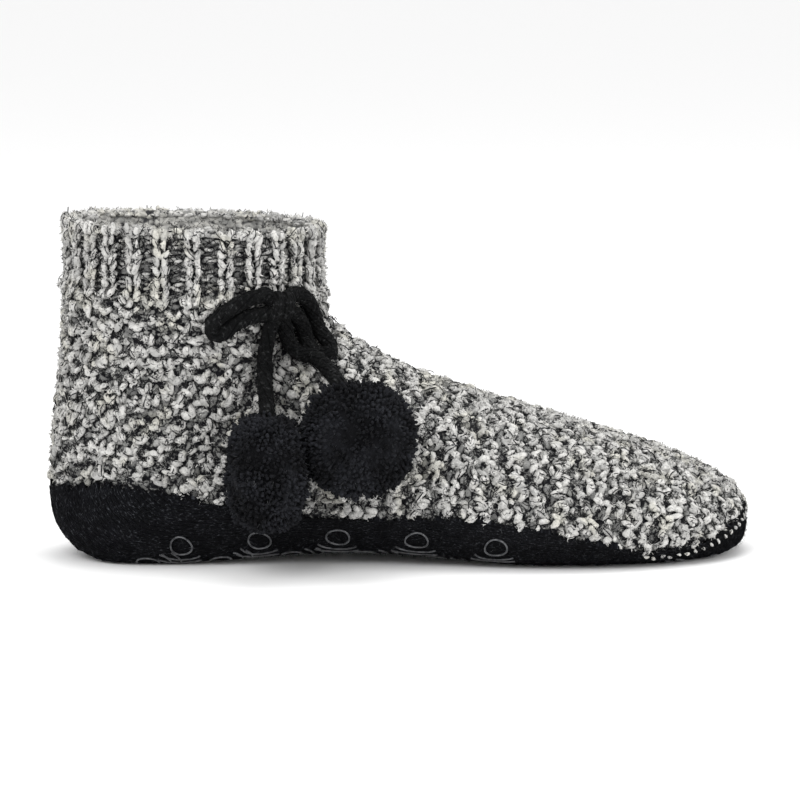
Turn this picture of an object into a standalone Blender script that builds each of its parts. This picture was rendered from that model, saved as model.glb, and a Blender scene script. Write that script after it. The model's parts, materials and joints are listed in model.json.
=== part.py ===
"""Slipper sock for a right foot: marled knit upper with a ribbed cuff, black sole, cord bow, pompoms.

Metres, +Z up, +X to the toe, -Y to the outer side of the foot. The origin lies on the floor under the
middle of the sock's length and width.

The upper and the sole are cut from one last. Its sections run from the toe along the foot, fan round the
ankle and end flat at the collar, as the courses of a knitted sock do.
"""

import math
import random
from collections import namedtuple

import bmesh
import bpy
import numpy as np
from mathutils import Vector
from mathutils.bvhtree import BVHTree

# The last: outer sizes of the sock as worn
LENGTH = 0.245
BALL_WIDTH = 0.088
BEND_HEIGHT = 0.086
COLLAR_HEIGHT = 0.117
COLLAR_LENGTH = 0.088
COLLAR_WIDTH = 0.073

# Walls
UPPER_WALL = 0.0032
SOLE_WALL = 0.0036
SEAM_GAP = 0.0003

# Ribbed cuff
CUFF_HEIGHT = 0.021
CUFF_STEP = 0.0016
RIB_COUNT = 28
RIB_DEPTH = 0.0011

# Cord bow on the outer side of the ankle
CORD_DIAMETER = 0.0044
KNOT_HEIGHT = 0.0105
KNOT_WIDTH = 0.0100
KNOT_DEPTH = 0.0082
KNOT_DROP = 0.0255
KNOT_AROUND = 48.5
REST_GAP = 0.0003

# Pompoms: bundles of cut yarn, wider across than they are thick, pressed a little against the ankle
POMPOM_DIAMETER = 0.038
POMPOM_THICKNESS = 0.026
POMPOM_PRESSED = 0.88
LOCK_LENGTH = 0.0021
BACK_POMPOM_FORWARD = -0.0030
BACK_POMPOM_DROP = 0.0550
FRONT_POMPOM_FORWARD = 0.0281
FRONT_POMPOM_DROP = 0.0440

# Fineness of the faceted solids
POINTS_PER_RIB = 2
RING_SPACING = 0.0185
CORD_RESOLUTION = 2
LOOP_POINT_SPACING = 0.0025
END_POINT_SPACING = 0.0045
POMPOM_SUBDIVISIONS = 3

# One row for each section of the last, from the toe to the ankle. The top and bottom points are shares of
# LENGTH from the heel, and of BEND_HEIGHT from the floor. half_width is a share of half of BALL_WIDTH.
# lean moves the section to the inner side, as a share of BALL_WIDTH. widest is the height of the widest
# point, from -1 at the bottom to 1 at the top. flat is how far the bottom is pressed in on the floor, and
# boxy is how square the lower half is, from 2 for an ellipse.
FootRow = namedtuple("FootRow", "name top_x top_z bottom_x bottom_z half_width lean widest flat boxy")
FOOT_ROWS = [
    FootRow("toe tip", 0.9990, 0.175, 0.9985, 0.095, 0.10, 0.070, -0.05, 0.00, 2.20),
    FootRow("toe end", 0.9940, 0.222, 0.9920, 0.048, 0.29, 0.066, -0.10, 0.00, 2.30),
    FootRow("toe round", 0.9820, 0.268, 0.9780, 0.018, 0.46, 0.060, -0.16, 0.04, 2.50),
    FootRow("toe nails", 0.9600, 0.318, 0.9540, 0.003, 0.625, 0.052, -0.22, 0.10, 2.75),
    FootRow("toe joints", 0.9280, 0.366, 0.9220, 0.000, 0.755, 0.042, -0.28, 0.15, 2.90),
    FootRow("toe roots", 0.8850, 0.418, 0.8800, 0.000, 0.865, 0.029, -0.32, 0.18, 2.90),
    FootRow("ball front", 0.8320, 0.470, 0.8280, 0.000, 0.950, 0.015, -0.34, 0.19, 2.90),
    FootRow("ball", 0.7700, 0.527, 0.7650, 0.000, 0.995, 0.004, -0.34, 0.19, 2.90),
    FootRow("ball back", 0.7050, 0.585, 0.6950, 0.000, 0.985, -0.006, -0.33, 0.17, 2.90),
    FootRow("waist front", 0.6350, 0.647, 0.6150, 0.010, 0.925, -0.014, -0.30, 0.13, 2.90),
    FootRow("waist", 0.5650, 0.712, 0.5250, 0.036, 0.860, -0.018, -0.26, 0.10, 2.90),
    FootRow("instep", 0.5000, 0.785, 0.4250, 0.048, 0.810, -0.017, -0.22, 0.09, 2.90),
    FootRow("arch back", 0.4530, 0.855, 0.3250, 0.036, 0.785, -0.012, -0.20, 0.10, 2.90),
    FootRow("heel front", 0.4240, 0.915, 0.2350, 0.010, 0.775, -0.006, -0.19, 0.12, 2.85),
    FootRow("heel seat", 0.4080, 0.957, 0.1550, 0.000, 0.775, 0.000, -0.18, 0.14, 2.80),
    FootRow("heel floor", 0.4010, 0.982, 0.0850, 0.000, 0.780, 0.000, -0.16, 0.10, 2.70),
    FootRow("heel low", 0.3990, 0.992, 0.0560, 0.014, 0.782, 0.000, -0.15, 0.03, 2.60),
    FootRow("heel turn", 0.3975, 1.000, 0.0300, 0.056, 0.785, 0.000, -0.14, 0.00, 2.50),
    FootRow("heel back", 0.3955, 1.012, 0.0075, 0.150, 0.790, 0.000, -0.12, 0.00, 2.40),
    FootRow("heel bulge", 0.3942, 1.021, 0.0000, 0.270, 0.796, 0.000, -0.10, 0.00, 2.34),
    FootRow("heel top", 0.3935, 1.028, 0.0020, 0.450, 0.804, 0.000, -0.08, 0.00, 2.28),
    FootRow("ankle", 0.3930, 1.036, 0.0110, 0.720, 0.822, 0.000, -0.04, 0.00, 2.22),
    FootRow("ankle high", 0.3928, 1.043, 0.0190, 0.950, 0.838, 0.000, -0.01, 0.00, 2.18),
]

# One row for each level of the cuff, from under its step to the rim. height is a share of CUFF_HEIGHT
# from its lower edge, slack swells the section in shares of CUFF_STEP, ribbed is the share of RIB_DEPTH.
CuffRow = namedtuple("CuffRow", "name height slack ribbed")
CUFF_ROWS = [
    CuffRow("body under the cuff", -0.10, 1.25, 0.0),
    CuffRow("step", 0.02, 0.05, 0.8),
    CuffRow("cuff low", 0.35, 0.00, 1.0),
    CuffRow("cuff high", 0.75, 0.15, 1.0),
    CuffRow("rim", 1.00, 0.45, 0.9),
]
CUFF_BACK_X = 0.028
COLLAR_SLOPE = 0.003

# The join of sole and upper: its height over the floor at places along the foot,
# as shares of LENGTH from the heel and of BEND_HEIGHT.
JoinRow = namedtuple("JoinRow", "place height")
JOIN_ROWS = [
    JoinRow(-0.05, 0.285),
    JoinRow(0.00, 0.295),
    JoinRow(0.07, 0.325),
    JoinRow(0.15, 0.305),
    JoinRow(0.24, 0.250),
    JoinRow(0.34, 0.205),
    JoinRow(0.45, 0.190),
    JoinRow(0.55, 0.195),
    JoinRow(0.64, 0.180),
    JoinRow(0.72, 0.135),
    JoinRow(0.79, 0.085),
    JoinRow(0.85, 0.060),
    JoinRow(0.90, 0.062),
    JoinRow(0.94, 0.090),
    JoinRow(0.975, 0.140),
    JoinRow(1.00, 0.190),
    JoinRow(1.05, 0.230),
]

# Routes of the cord from the knot, in cord diameters: forward round the ankle, up, and off the knit.
RoutePoint = namedtuple("RoutePoint", "forward up off")
BACK_LOOP = [
    RoutePoint(-1.08, 0.70, 0.80),
    RoutePoint(-2.20, 0.52, 0.66),
    RoutePoint(-3.40, 0.12, 0.60),
    RoutePoint(-4.40, -0.50, 0.58),
    RoutePoint(-5.00, -1.14, 0.58),
    RoutePoint(-5.10, -1.74, 0.58),
    RoutePoint(-4.72, -2.10, 0.58),
    RoutePoint(-4.06, -1.84, 0.58),
    RoutePoint(-3.14, -1.10, 0.60),
    RoutePoint(-2.16, -0.62, 0.66),
    RoutePoint(-1.12, -0.40, 0.80),
]
FRONT_LOOP = [
    RoutePoint(1.26, 0.62, 0.78),
    RoutePoint(2.10, 0.38, 0.72),
    RoutePoint(3.06, -0.34, 0.66),
    RoutePoint(3.82, -1.36, 0.62),
    RoutePoint(4.20, -2.50, 0.60),
    RoutePoint(4.28, -3.56, 0.60),
    RoutePoint(3.98, -4.26, 0.60),
    RoutePoint(3.44, -4.40, 0.60),
    RoutePoint(3.08, -3.86, 0.60),
    RoutePoint(2.98, -2.86, 0.62),
    RoutePoint(2.56, -1.78, 0.64),
    RoutePoint(1.90, -0.98, 0.70),
    RoutePoint(1.24, -0.48, 0.78),
]
BACK_END = [
    RoutePoint(-0.42, -1.36, 0.75),
    RoutePoint(-0.56, -2.60, 0.70),
    RoutePoint(-0.66, -3.90, 0.75),
    RoutePoint(-0.76, -5.20, 1.20),
    RoutePoint(-0.82, -6.40, 2.10),
]
FRONT_END = [
    RoutePoint(0.70, -1.46, 0.72),
    RoutePoint(1.15, -2.45, 0.68),
    RoutePoint(1.70, -3.45, 0.78),
    RoutePoint(2.22, -4.40, 1.22),
    RoutePoint(2.78, -5.15, 2.00),
]

ROUNDNESS = 2.15
POINTS_AROUND = RIB_COUNT * POINTS_PER_RIB

MARL_GREY = (0.50, 0.50, 0.48)
SOLE_BLACK = (0.012, 0.012, 0.015)
CORD_BLACK = (0.010, 0.011, 0.012)
POMPOM_BLACK = (0.008, 0.008, 0.011)


def clear_scene():
    for obj in list(bpy.data.objects):
        bpy.data.objects.remove(obj)


def make_collection(name):
    group = bpy.data.collections.new(name)
    bpy.context.scene.collection.children.link(group)
    return group


def make_material(name, colour, roughness):
    material = bpy.data.materials.new(name)
    material.use_nodes = True
    shader = material.node_tree.nodes["Principled BSDF"]
    shader.inputs["Base Color"].default_value = (*colour, 1.0)
    shader.inputs["Roughness"].default_value = roughness
    shader.inputs["Metallic"].default_value = 0.0
    return material


def smooth_through(places, values, at):
    """Values at new places, on a smooth curve that never overshoots the rows it passes through."""
    places, values = np.asarray(places, float), np.asarray(values, float)
    gaps = np.diff(places)[:, None] if values.ndim > 1 else np.diff(places)
    slopes = np.diff(values, axis=0) / gaps
    before, after = slopes[:-1], slopes[1:]
    same_way = before * after > 0
    total = np.where(same_way, before + after, 1.0)
    tangents = np.zeros_like(values)
    tangents[1:-1] = np.where(same_way, 2 * before * after / total, 0.0)
    tangents[0], tangents[-1] = slopes[0], slopes[-1]
    at = np.clip(np.asarray(at, float), places[0], places[-1])
    i = np.clip(np.searchsorted(places, at, side="right") - 1, 0, len(places) - 2)
    width = places[i + 1] - places[i]
    t = (at - places[i]) / width
    if values.ndim > 1:
        width, t = width[:, None], t[:, None]
    start = values[i] * (1 + 2 * t) * (1 - t) ** 2 + tangents[i] * width * t * (1 - t) ** 2
    end = values[i + 1] * t * t * (3 - 2 * t) - tangents[i + 1] * width * t * t * (1 - t)
    return start + end


def foot_row_in_metres(row):
    return [
        row.top_x * LENGTH,
        row.top_z * BEND_HEIGHT,
        row.bottom_x * LENGTH,
        row.bottom_z * BEND_HEIGHT,
        row.half_width * BALL_WIDTH / 2,
        row.lean * BALL_WIDTH,
        row.widest,
        row.flat,
        row.boxy,
        0.0,
    ]


def cuff_row_in_metres(row):
    swell = row.slack * CUFF_STEP
    back = CUFF_BACK_X * LENGTH - swell
    front = CUFF_BACK_X * LENGTH + COLLAR_LENGTH + swell
    height = COLLAR_HEIGHT - CUFF_HEIGHT * (1 - row.height)
    half_width = COLLAR_WIDTH / 2 + swell
    slope = COLLAR_SLOPE / 2
    ends = [front, height - slope, back, height + slope]
    return ends + [half_width, 0.0, 0.0, 0.0, ROUNDNESS, row.ribbed]


def last_rows():
    foot = [foot_row_in_metres(row) for row in FOOT_ROWS]
    return np.array(foot + [cuff_row_in_metres(row) for row in CUFF_ROWS])


def section_points(row, angles):
    """The outline of one section: angle 0 is its top or front, a quarter turn the inner side."""
    top_x, top_z, bottom_x, bottom_z, half_width, lean, widest, flat, boxy, ribbed = row
    upright, across = np.cos(angles), np.sin(angles)
    above = upright > 0
    roundness = np.where(above, ROUNDNESS, boxy)
    rise = np.abs(upright) ** (2 / roundness)
    spread = np.sign(across) * np.abs(across) ** (2 / roundness)
    share = np.where(above, widest + (1 - widest) * rise, widest - (1 + widest) * (1 + flat) * rise)
    share = np.maximum(share, -1.0)
    rib = ribbed * RIB_DEPTH * 0.5 * np.cos(RIB_COUNT * angles)
    middle_x, middle_z = (top_x + bottom_x) / 2, (top_z + bottom_z) / 2
    reach_x, reach_z = (top_x - bottom_x) / 2, (top_z - bottom_z) / 2
    reach = math.hypot(reach_x, reach_z)
    along = share * reach + rib * upright
    sideways = half_width * spread + lean + rib * across
    return np.stack(
        [middle_x + along * reach_x / reach, sideways, middle_z + along * reach_z / reach], axis=-1
    )


def row_places():
    """How far along the sock each row lies, by the mean path of its top and bottom points."""
    rows = last_rows()
    steps = np.hypot(*np.diff(rows[:, 0:2], axis=0).T) + np.hypot(*np.diff(rows[:, 2:4], axis=0).T)
    return np.concatenate([[0.0], np.cumsum(steps / 2)])


def ring_shares():
    """Row numbers of the rings: one ring on each row, and more where two rows lie far apart."""
    shares = [0.0]
    for i, step in enumerate(np.diff(row_places())):
        count = max(1, math.ceil(step / RING_SPACING))
        shares += [i + (k + 1) / count for k in range(count)]
    return np.array(shares)


def last_rings():
    """The rings of points over the whole last, and the toe's end point."""
    rows, places = last_rows(), row_places()
    at = np.interp(ring_shares(), np.arange(len(rows)), places)
    between = smooth_through(places, rows, at)
    angles = np.arange(POINTS_AROUND) * 2 * math.pi / POINTS_AROUND
    rings = np.array([section_points(row, angles) for row in between])
    tip = rings[0].mean(axis=0)
    tip[0] = LENGTH
    return rings, tip


def centre_offset(rings, tip):
    """What brings the middle of the sock's length and width over the origin."""
    points = np.concatenate([rings.reshape(-1, 3), tip[None]])
    low, high = points.min(axis=0), points.max(axis=0)
    return np.array([-(low[0] + high[0]) / 2, -(low[1] + high[1]) / 2, 0.0])


def join_height(x):
    """Height of the seam between sole and upper at a distance from the heel."""
    places = [row.place * LENGTH for row in JOIN_ROWS]
    heights = [row.height * BEND_HEIGHT for row in JOIN_ROWS]
    return smooth_through(places, heights, np.atleast_1d(x))


def object_from_bmesh(bm, name, group):
    mesh = bpy.data.meshes.new(name)
    bm.to_mesh(mesh)
    bm.free()
    obj = bpy.data.objects.new(name, mesh)
    group.objects.link(obj)
    return obj


def last_surface(name, rings, tip, offset, group):
    """The open skin of the last: a loft of its rings, closed at the toe and open at the collar."""
    bm = bmesh.new()
    loops = [[bm.verts.new(Vector(p + offset)) for p in ring] for ring in rings]
    end = bm.verts.new(Vector(tip + offset))
    count = len(loops[0])
    for i in range(count):
        bm.faces.new((end, loops[0][i], loops[0][(i + 1) % count]))
    for near, far in zip(loops, loops[1:]):
        for i in range(count):
            j = (i + 1) % count
            bm.faces.new((near[i], far[i], far[j], near[j]))
    bmesh.ops.recalc_face_normals(bm, faces=bm.faces)
    return object_from_bmesh(bm, name, group)


def join_cutter(name, offset, above, group):
    """A block whose lower or upper side follows the seam between sole and upper."""
    margin = 0.03
    xs = np.linspace(-margin, LENGTH + margin, 64)
    heights = join_height(np.clip(xs, JOIN_ROWS[0].place * LENGTH, JOIN_ROWS[-1].place * LENGTH))
    far = COLLAR_HEIGHT + margin if above else -margin
    edge = heights - SEAM_GAP / 2 if above else heights + SEAM_GAP / 2
    bm = bmesh.new()
    sides = []
    for y in (-BALL_WIDTH, BALL_WIDTH):
        seam = [bm.verts.new((x + offset[0], y, z)) for x, z in zip(xs, edge)]
        wide = [bm.verts.new((x + offset[0], y, far)) for x in xs]
        sides.append((seam, wide))
    (seam_a, wide_a), (seam_b, wide_b) = sides
    for i in range(len(xs) - 1):
        bm.faces.new((seam_a[i], seam_a[i + 1], seam_b[i + 1], seam_b[i]))
        bm.faces.new((wide_a[i], wide_b[i], wide_b[i + 1], wide_a[i + 1]))
        bm.faces.new((seam_a[i], wide_a[i], wide_a[i + 1], seam_a[i + 1]))
        bm.faces.new((seam_b[i], seam_b[i + 1], wide_b[i + 1], wide_b[i]))
    for i in (0, -1):
        bm.faces.new((seam_a[i], seam_b[i], wide_b[i], wide_a[i]))
    bmesh.ops.recalc_face_normals(bm, faces=bm.faces)
    cutter = object_from_bmesh(bm, name, group)
    cutter.hide_render = True
    cutter.display_type = "WIRE"
    return cutter


def give_wall(obj, thickness):
    wall = obj.modifiers.new("wall", "SOLIDIFY")
    wall.thickness = thickness
    wall.offset = -1.0
    wall.use_even_offset = False
    wall.use_rim = True


def cut_away(obj, cutter):
    cut = obj.modifiers.new("cut at the join", "BOOLEAN")
    cut.operation = "DIFFERENCE"
    cut.solver = "EXACT"
    cut.object = cutter


def shade(obj, material, angle=math.radians(40)):
    obj.data.materials.append(material)
    obj.data.shade_smooth()
    obj.data.set_sharp_from_angle(angle=angle)


def make_upper(rings, tip, offset, parts, cutters):
    upper = last_surface("upper", rings, tip, offset, parts)
    give_wall(upper, UPPER_WALL)
    cut_away(upper, join_cutter("cut_sole_away", offset, False, cutters))
    shade(upper, make_material("marled knit", MARL_GREY, 0.95))
    return upper


def make_sole(rings, tip, offset, parts, cutters):
    sole = last_surface("sole", rings, tip, offset, parts)
    give_wall(sole, SOLE_WALL)
    cut_away(sole, join_cutter("cut_upper_away", offset, True, cutters))
    shade(sole, make_material("black sole knit", SOLE_BLACK, 0.9))
    return sole


class AnkleSide:
    """The skin round the ankle, read by height and by the angle from the front to the outer side."""

    def __init__(self, rings, offset):
        points = [Vector(p + offset) for ring in rings for p in ring]
        count = rings.shape[1]
        faces = []
        for r in range(len(rings) - 1):
            for i in range(count):
                j = (i + 1) % count
                faces.append((r * count + i, r * count + j, (r + 1) * count + j, (r + 1) * count + i))
        self.tree = BVHTree.FromPolygons(points, faces)
        self.axis_x = CUFF_BACK_X * LENGTH + COLLAR_LENGTH / 2 + offset[0]
        self.axis_y = offset[1]

    def point(self, around, height):
        turn = math.radians(around)
        start = Vector((self.axis_x, self.axis_y, height))
        hit = self.tree.ray_cast(start, Vector((math.cos(turn), -math.sin(turn), 0.0)))
        return hit[0]

    def normal(self, around, height):
        along = self.point(around - 5, height) - self.point(around + 5, height)
        upward = self.point(around, height + 0.003) - self.point(around, height - 0.003)
        return along.cross(upward).normalized()

    def lifted(self, around, height, off):
        return self.point(around, height) + self.normal(around, height) * off


def knot_height():
    return COLLAR_HEIGHT - KNOT_DROP


def route_on_ankle(side, rows):
    """A cord's centreline: the rows of its route laid on the ankle from the knot."""
    radius = (COLLAR_LENGTH + COLLAR_WIDTH) / 4
    points = []
    for row in rows:
        around = KNOT_AROUND - math.degrees(row.forward * CORD_DIAMETER / radius)
        height = knot_height() + row.up * CORD_DIAMETER
        points.append(side.lifted(around, height, row.off * CORD_DIAMETER))
    return points


def rounded_route(points, spacing):
    """A smooth line through the points, with new points at even distances."""
    p = [2 * points[0] - points[1]] + list(points) + [2 * points[-1] - points[-2]]
    fine = []
    for a, b, c, d in zip(p, p[1:], p[2:], p[3:]):
        for k in range(12):
            t = k / 12
            bend = (2 * a - 5 * b + 4 * c - d) * t * t + (3 * b - a - 3 * c + d) * t ** 3
            fine.append(0.5 * (2 * b + (c - a) * t + bend))
    fine.append(points[-1])
    lengths = np.cumsum([0.0] + [(b - a).length for a, b in zip(fine, fine[1:])])
    count = max(2, round(lengths[-1] / spacing))
    at = np.linspace(0.0, lengths[-1], count + 1)
    line = np.array(fine)
    return [Vector(p) for p in np.stack([np.interp(at, lengths, line[:, k]) for k in range(3)], axis=-1)]


def make_cord(name, points, spacing, material, group):
    curve = bpy.data.curves.new(name, "CURVE")
    curve.dimensions = "3D"
    curve.bevel_depth = CORD_DIAMETER / 2
    curve.bevel_resolution = CORD_RESOLUTION
    curve.use_fill_caps = True
    spline = curve.splines.new("POLY")
    route = rounded_route(points, spacing)
    spline.points.add(len(route) - 1)
    for point, place in zip(spline.points, route):
        point.co = (*place, 1.0)
    curve.materials.append(material)
    cord = bpy.data.objects.new(name, curve)
    group.objects.link(cord)
    return cord


def make_knot(side, material, group):
    """The knot: a round lump of cord with the wrap standing out across its middle."""
    along = side.point(KNOT_AROUND - 5, knot_height()) - side.point(KNOT_AROUND + 5, knot_height())
    along.normalize()
    out = side.normal(KNOT_AROUND, knot_height())
    upward = out.cross(along)
    centre = side.lifted(KNOT_AROUND, knot_height(), KNOT_DEPTH / 2 + REST_GAP)
    bm = bmesh.new()
    bmesh.ops.create_uvsphere(bm, u_segments=16, v_segments=10, radius=1.0)
    for vert in bm.verts:
        across, depth, rise = vert.co
        wrap = 1.0 if abs(across) < 0.55 else 0.86
        offset = along * (across * KNOT_WIDTH / 2) + out * (depth * wrap * KNOT_DEPTH / 2)
        vert.co = centre + offset + upward * (rise * wrap * KNOT_HEIGHT / 2)
    bm.normal_update()
    bmesh.ops.recalc_face_normals(bm, faces=bm.faces)
    knot = object_from_bmesh(bm, "bow_knot", group)
    shade(knot, material)
    return knot


def make_pompom(name, centre, half_sizes, seed, rests_on, material, group):
    """A bundle of cut yarn: a squat ball with a lock of yarn on every facet, moved out until it rests."""
    rng = random.Random(seed)
    bm = bmesh.new()
    bmesh.ops.create_icosphere(bm, subdivisions=POMPOM_SUBDIVISIONS, radius=1.0)
    tips = set(bmesh.ops.poke(bm, faces=bm.faces)["verts"])
    core = Vector([size - LOCK_LENGTH for size in half_sizes])
    for vert in bm.verts:
        way = vert.co.normalized()
        lock = LOCK_LENGTH * rng.uniform(0.7, 1.2) if vert in tips else 0.0
        vert.co = Vector([w * c for w, c in zip(way, core)]) + way * lock
    bmesh.ops.recalc_face_normals(bm, faces=bm.faces)
    pompom = object_from_bmesh(bm, name, group)
    while any(tree_of(pompom, centre).overlap(tree) for tree in rests_on):
        centre = centre + Vector((0.0, -0.0002, 0.0))
    centre = centre + Vector((0.0, -REST_GAP, 0.0))
    for vert in pompom.data.vertices:
        vert.co = vert.co + centre
    shade(pompom, material, math.radians(25))
    return pompom, centre


def tree_of(obj, place):
    points = [v.co + place for v in obj.data.vertices]
    return BVHTree.FromPolygons(points, [tuple(f.vertices) for f in obj.data.polygons])


def make_pompoms(side, parts):
    """The front pompom lies flat against the ankle, and the back one stands on edge beside it."""
    yarn = make_material("black cut yarn", POMPOM_BLACK, 1.0)
    knot = side.point(KNOT_AROUND, knot_height())
    across, through = POMPOM_DIAMETER / 2, POMPOM_THICKNESS / 2
    start = Vector((knot.x + FRONT_POMPOM_FORWARD, knot.y, knot.z - FRONT_POMPOM_DROP))
    sizes = (across, through, across)
    front, front_centre = make_pompom("pompom_front", start, sizes, 8, [side.tree], yarn, parts)
    start = Vector((knot.x + BACK_POMPOM_FORWARD, knot.y, knot.z - BACK_POMPOM_DROP))
    sizes = (through, across * POMPOM_PRESSED, across)
    trees = [side.tree, tree_of(front, Vector())]
    back_centre = make_pompom("pompom_back", start, sizes, 3, trees, yarn, parts)[1]
    return back_centre, front_centre


def make_bow(side, pompom_centres, parts):
    cord = make_material("black knitted cord", CORD_BLACK, 0.9)
    make_knot(side, cord, parts)
    make_cord("bow_loop_back", route_on_ankle(side, BACK_LOOP), LOOP_POINT_SPACING, cord, parts)
    make_cord("bow_loop_front", route_on_ankle(side, FRONT_LOOP), LOOP_POINT_SPACING, cord, parts)
    back, front = pompom_centres
    reach = POMPOM_DIAMETER / 2 + REST_GAP + LOCK_LENGTH * 0.4
    back_tie = back + Vector((0.0, 0.25, 0.97)) * reach
    front_tie = front + Vector((-0.32, 0.10, 0.94)) * reach
    back_route = route_on_ankle(side, BACK_END) + [back_tie]
    front_route = route_on_ankle(side, FRONT_END) + [front_tie]
    make_cord("tie_end_back", back_route, END_POINT_SPACING, cord, parts)
    make_cord("tie_end_front", front_route, END_POINT_SPACING, cord, parts)


def main():
    clear_scene()
    parts, cutters = make_collection("slipper_sock"), make_collection("cutters")
    rings, tip = last_rings()
    offset = centre_offset(rings, tip)
    make_upper(rings, tip, offset, parts, cutters)
    make_sole(rings, tip, offset, parts, cutters)
    side = AnkleSide(rings, offset)
    make_bow(side, make_pompoms(side, parts), parts)


main()
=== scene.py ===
# %% [markdown]
# # A knitted slipper sock with a cord bow and pompoms
# The real one is knitted from a bulky marled yarn: soft off-white puffs held by a thin black thread.
# Its sole is a finer black knit with clear silicone rings on it, and a black knitted cord runs under the
# ribbed cuff, is tied in a bow on the outer side, and ends in two pompoms of cut yarn.
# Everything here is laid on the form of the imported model, which is loaded first and never changed.

import json
import math
import random

import bmesh
import bpy
import numpy as np
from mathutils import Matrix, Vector
from mathutils.bvhtree import BVHTree

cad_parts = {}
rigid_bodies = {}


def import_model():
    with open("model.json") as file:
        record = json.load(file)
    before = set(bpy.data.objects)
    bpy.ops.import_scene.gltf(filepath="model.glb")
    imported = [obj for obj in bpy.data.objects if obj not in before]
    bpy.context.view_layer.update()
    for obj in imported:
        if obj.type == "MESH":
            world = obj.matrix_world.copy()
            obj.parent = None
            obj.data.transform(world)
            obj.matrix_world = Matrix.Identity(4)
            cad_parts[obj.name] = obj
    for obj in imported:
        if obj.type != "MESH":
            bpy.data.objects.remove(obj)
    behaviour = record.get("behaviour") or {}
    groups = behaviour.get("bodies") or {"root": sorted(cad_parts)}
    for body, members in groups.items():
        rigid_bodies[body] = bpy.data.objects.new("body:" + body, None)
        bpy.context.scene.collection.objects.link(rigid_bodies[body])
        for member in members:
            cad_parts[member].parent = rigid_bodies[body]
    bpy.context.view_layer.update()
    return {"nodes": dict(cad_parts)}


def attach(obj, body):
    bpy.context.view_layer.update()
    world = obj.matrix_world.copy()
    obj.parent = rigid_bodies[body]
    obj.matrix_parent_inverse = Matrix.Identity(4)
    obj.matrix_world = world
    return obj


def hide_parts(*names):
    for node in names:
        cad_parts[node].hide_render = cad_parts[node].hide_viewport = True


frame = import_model()
print("packed nodes:", sorted(frame["nodes"]))

# %% [markdown]
# ## The last
# A sock has no shape of its own, so its form comes from the foot it was knitted for. The same short table
# of sections as in the part's source gives the skin: each row is one section, from the toe to the ankle,
# and the sections fan round the heel. The cuff's rows follow. A function then gives the point, the
# outward direction and the knitting directions anywhere on the skin, and every stitch is placed with it.

# %% Sizes and sections of the last, in metres and shares
LENGTH = 0.245
BALL_WIDTH = 0.088
BEND_HEIGHT = 0.086
COLLAR_HEIGHT = 0.117
COLLAR_LENGTH = 0.088
COLLAR_WIDTH = 0.073
CUFF_HEIGHT = 0.021
CUFF_STEP = 0.0016
CUFF_BACK_X = 0.028
COLLAR_SLOPE = 0.003
RIB_COUNT = 28
RIB_DEPTH = 0.0011
ROUNDNESS = 2.15
RING = 56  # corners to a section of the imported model

# top x, top z, bottom x, bottom z, half width, lean to the inner side, height of the widest point,
# how far the floor presses the bottom in, how boxy the lower half is
FOOT_ROWS = [
    (0.9990, 0.175, 0.9985, 0.095, 0.100, 0.070, -0.05, 0.00, 2.20),
    (0.9940, 0.222, 0.9920, 0.048, 0.290, 0.066, -0.10, 0.00, 2.30),
    (0.9820, 0.268, 0.9780, 0.018, 0.460, 0.060, -0.16, 0.04, 2.50),
    (0.9600, 0.318, 0.9540, 0.003, 0.625, 0.052, -0.22, 0.10, 2.75),
    (0.9280, 0.366, 0.9220, 0.000, 0.755, 0.042, -0.28, 0.15, 2.90),
    (0.8850, 0.418, 0.8800, 0.000, 0.865, 0.029, -0.32, 0.18, 2.90),
    (0.8320, 0.470, 0.8280, 0.000, 0.950, 0.015, -0.34, 0.19, 2.90),
    (0.7700, 0.527, 0.7650, 0.000, 0.995, 0.004, -0.34, 0.19, 2.90),
    (0.7050, 0.585, 0.6950, 0.000, 0.985, -0.006, -0.33, 0.17, 2.90),
    (0.6350, 0.647, 0.6150, 0.010, 0.925, -0.014, -0.30, 0.13, 2.90),
    (0.5650, 0.712, 0.5250, 0.036, 0.860, -0.018, -0.26, 0.10, 2.90),
    (0.5000, 0.785, 0.4250, 0.048, 0.810, -0.017, -0.22, 0.09, 2.90),
    (0.4530, 0.855, 0.3250, 0.036, 0.785, -0.012, -0.20, 0.10, 2.90),
    (0.4240, 0.915, 0.2350, 0.010, 0.775, -0.006, -0.19, 0.12, 2.85),
    (0.4080, 0.957, 0.1550, 0.000, 0.775, 0.000, -0.18, 0.14, 2.80),
    (0.4010, 0.982, 0.0850, 0.000, 0.780, 0.000, -0.16, 0.10, 2.70),
    (0.3990, 0.992, 0.0560, 0.014, 0.782, 0.000, -0.15, 0.03, 2.60),
    (0.3975, 1.000, 0.0300, 0.056, 0.785, 0.000, -0.14, 0.00, 2.50),
    (0.3955, 1.012, 0.0075, 0.150, 0.790, 0.000, -0.12, 0.00, 2.40),
    (0.3942, 1.021, 0.0000, 0.270, 0.796, 0.000, -0.10, 0.00, 2.34),
    (0.3935, 1.028, 0.0020, 0.450, 0.804, 0.000, -0.08, 0.00, 2.28),
    (0.3930, 1.036, 0.0110, 0.720, 0.822, 0.000, -0.04, 0.00, 2.22),
    (0.3928, 1.043, 0.0190, 0.950, 0.838, 0.000, -0.01, 0.00, 2.18),
]
# height in the cuff, slack over the rim's size, share of the rib's depth
CUFF_ROWS = [(-0.10, 1.25, 0.0), (0.02, 0.05, 0.8), (0.35, 0.00, 1.0), (0.75, 0.15, 1.0), (1.00, 0.45, 0.9)]
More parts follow.
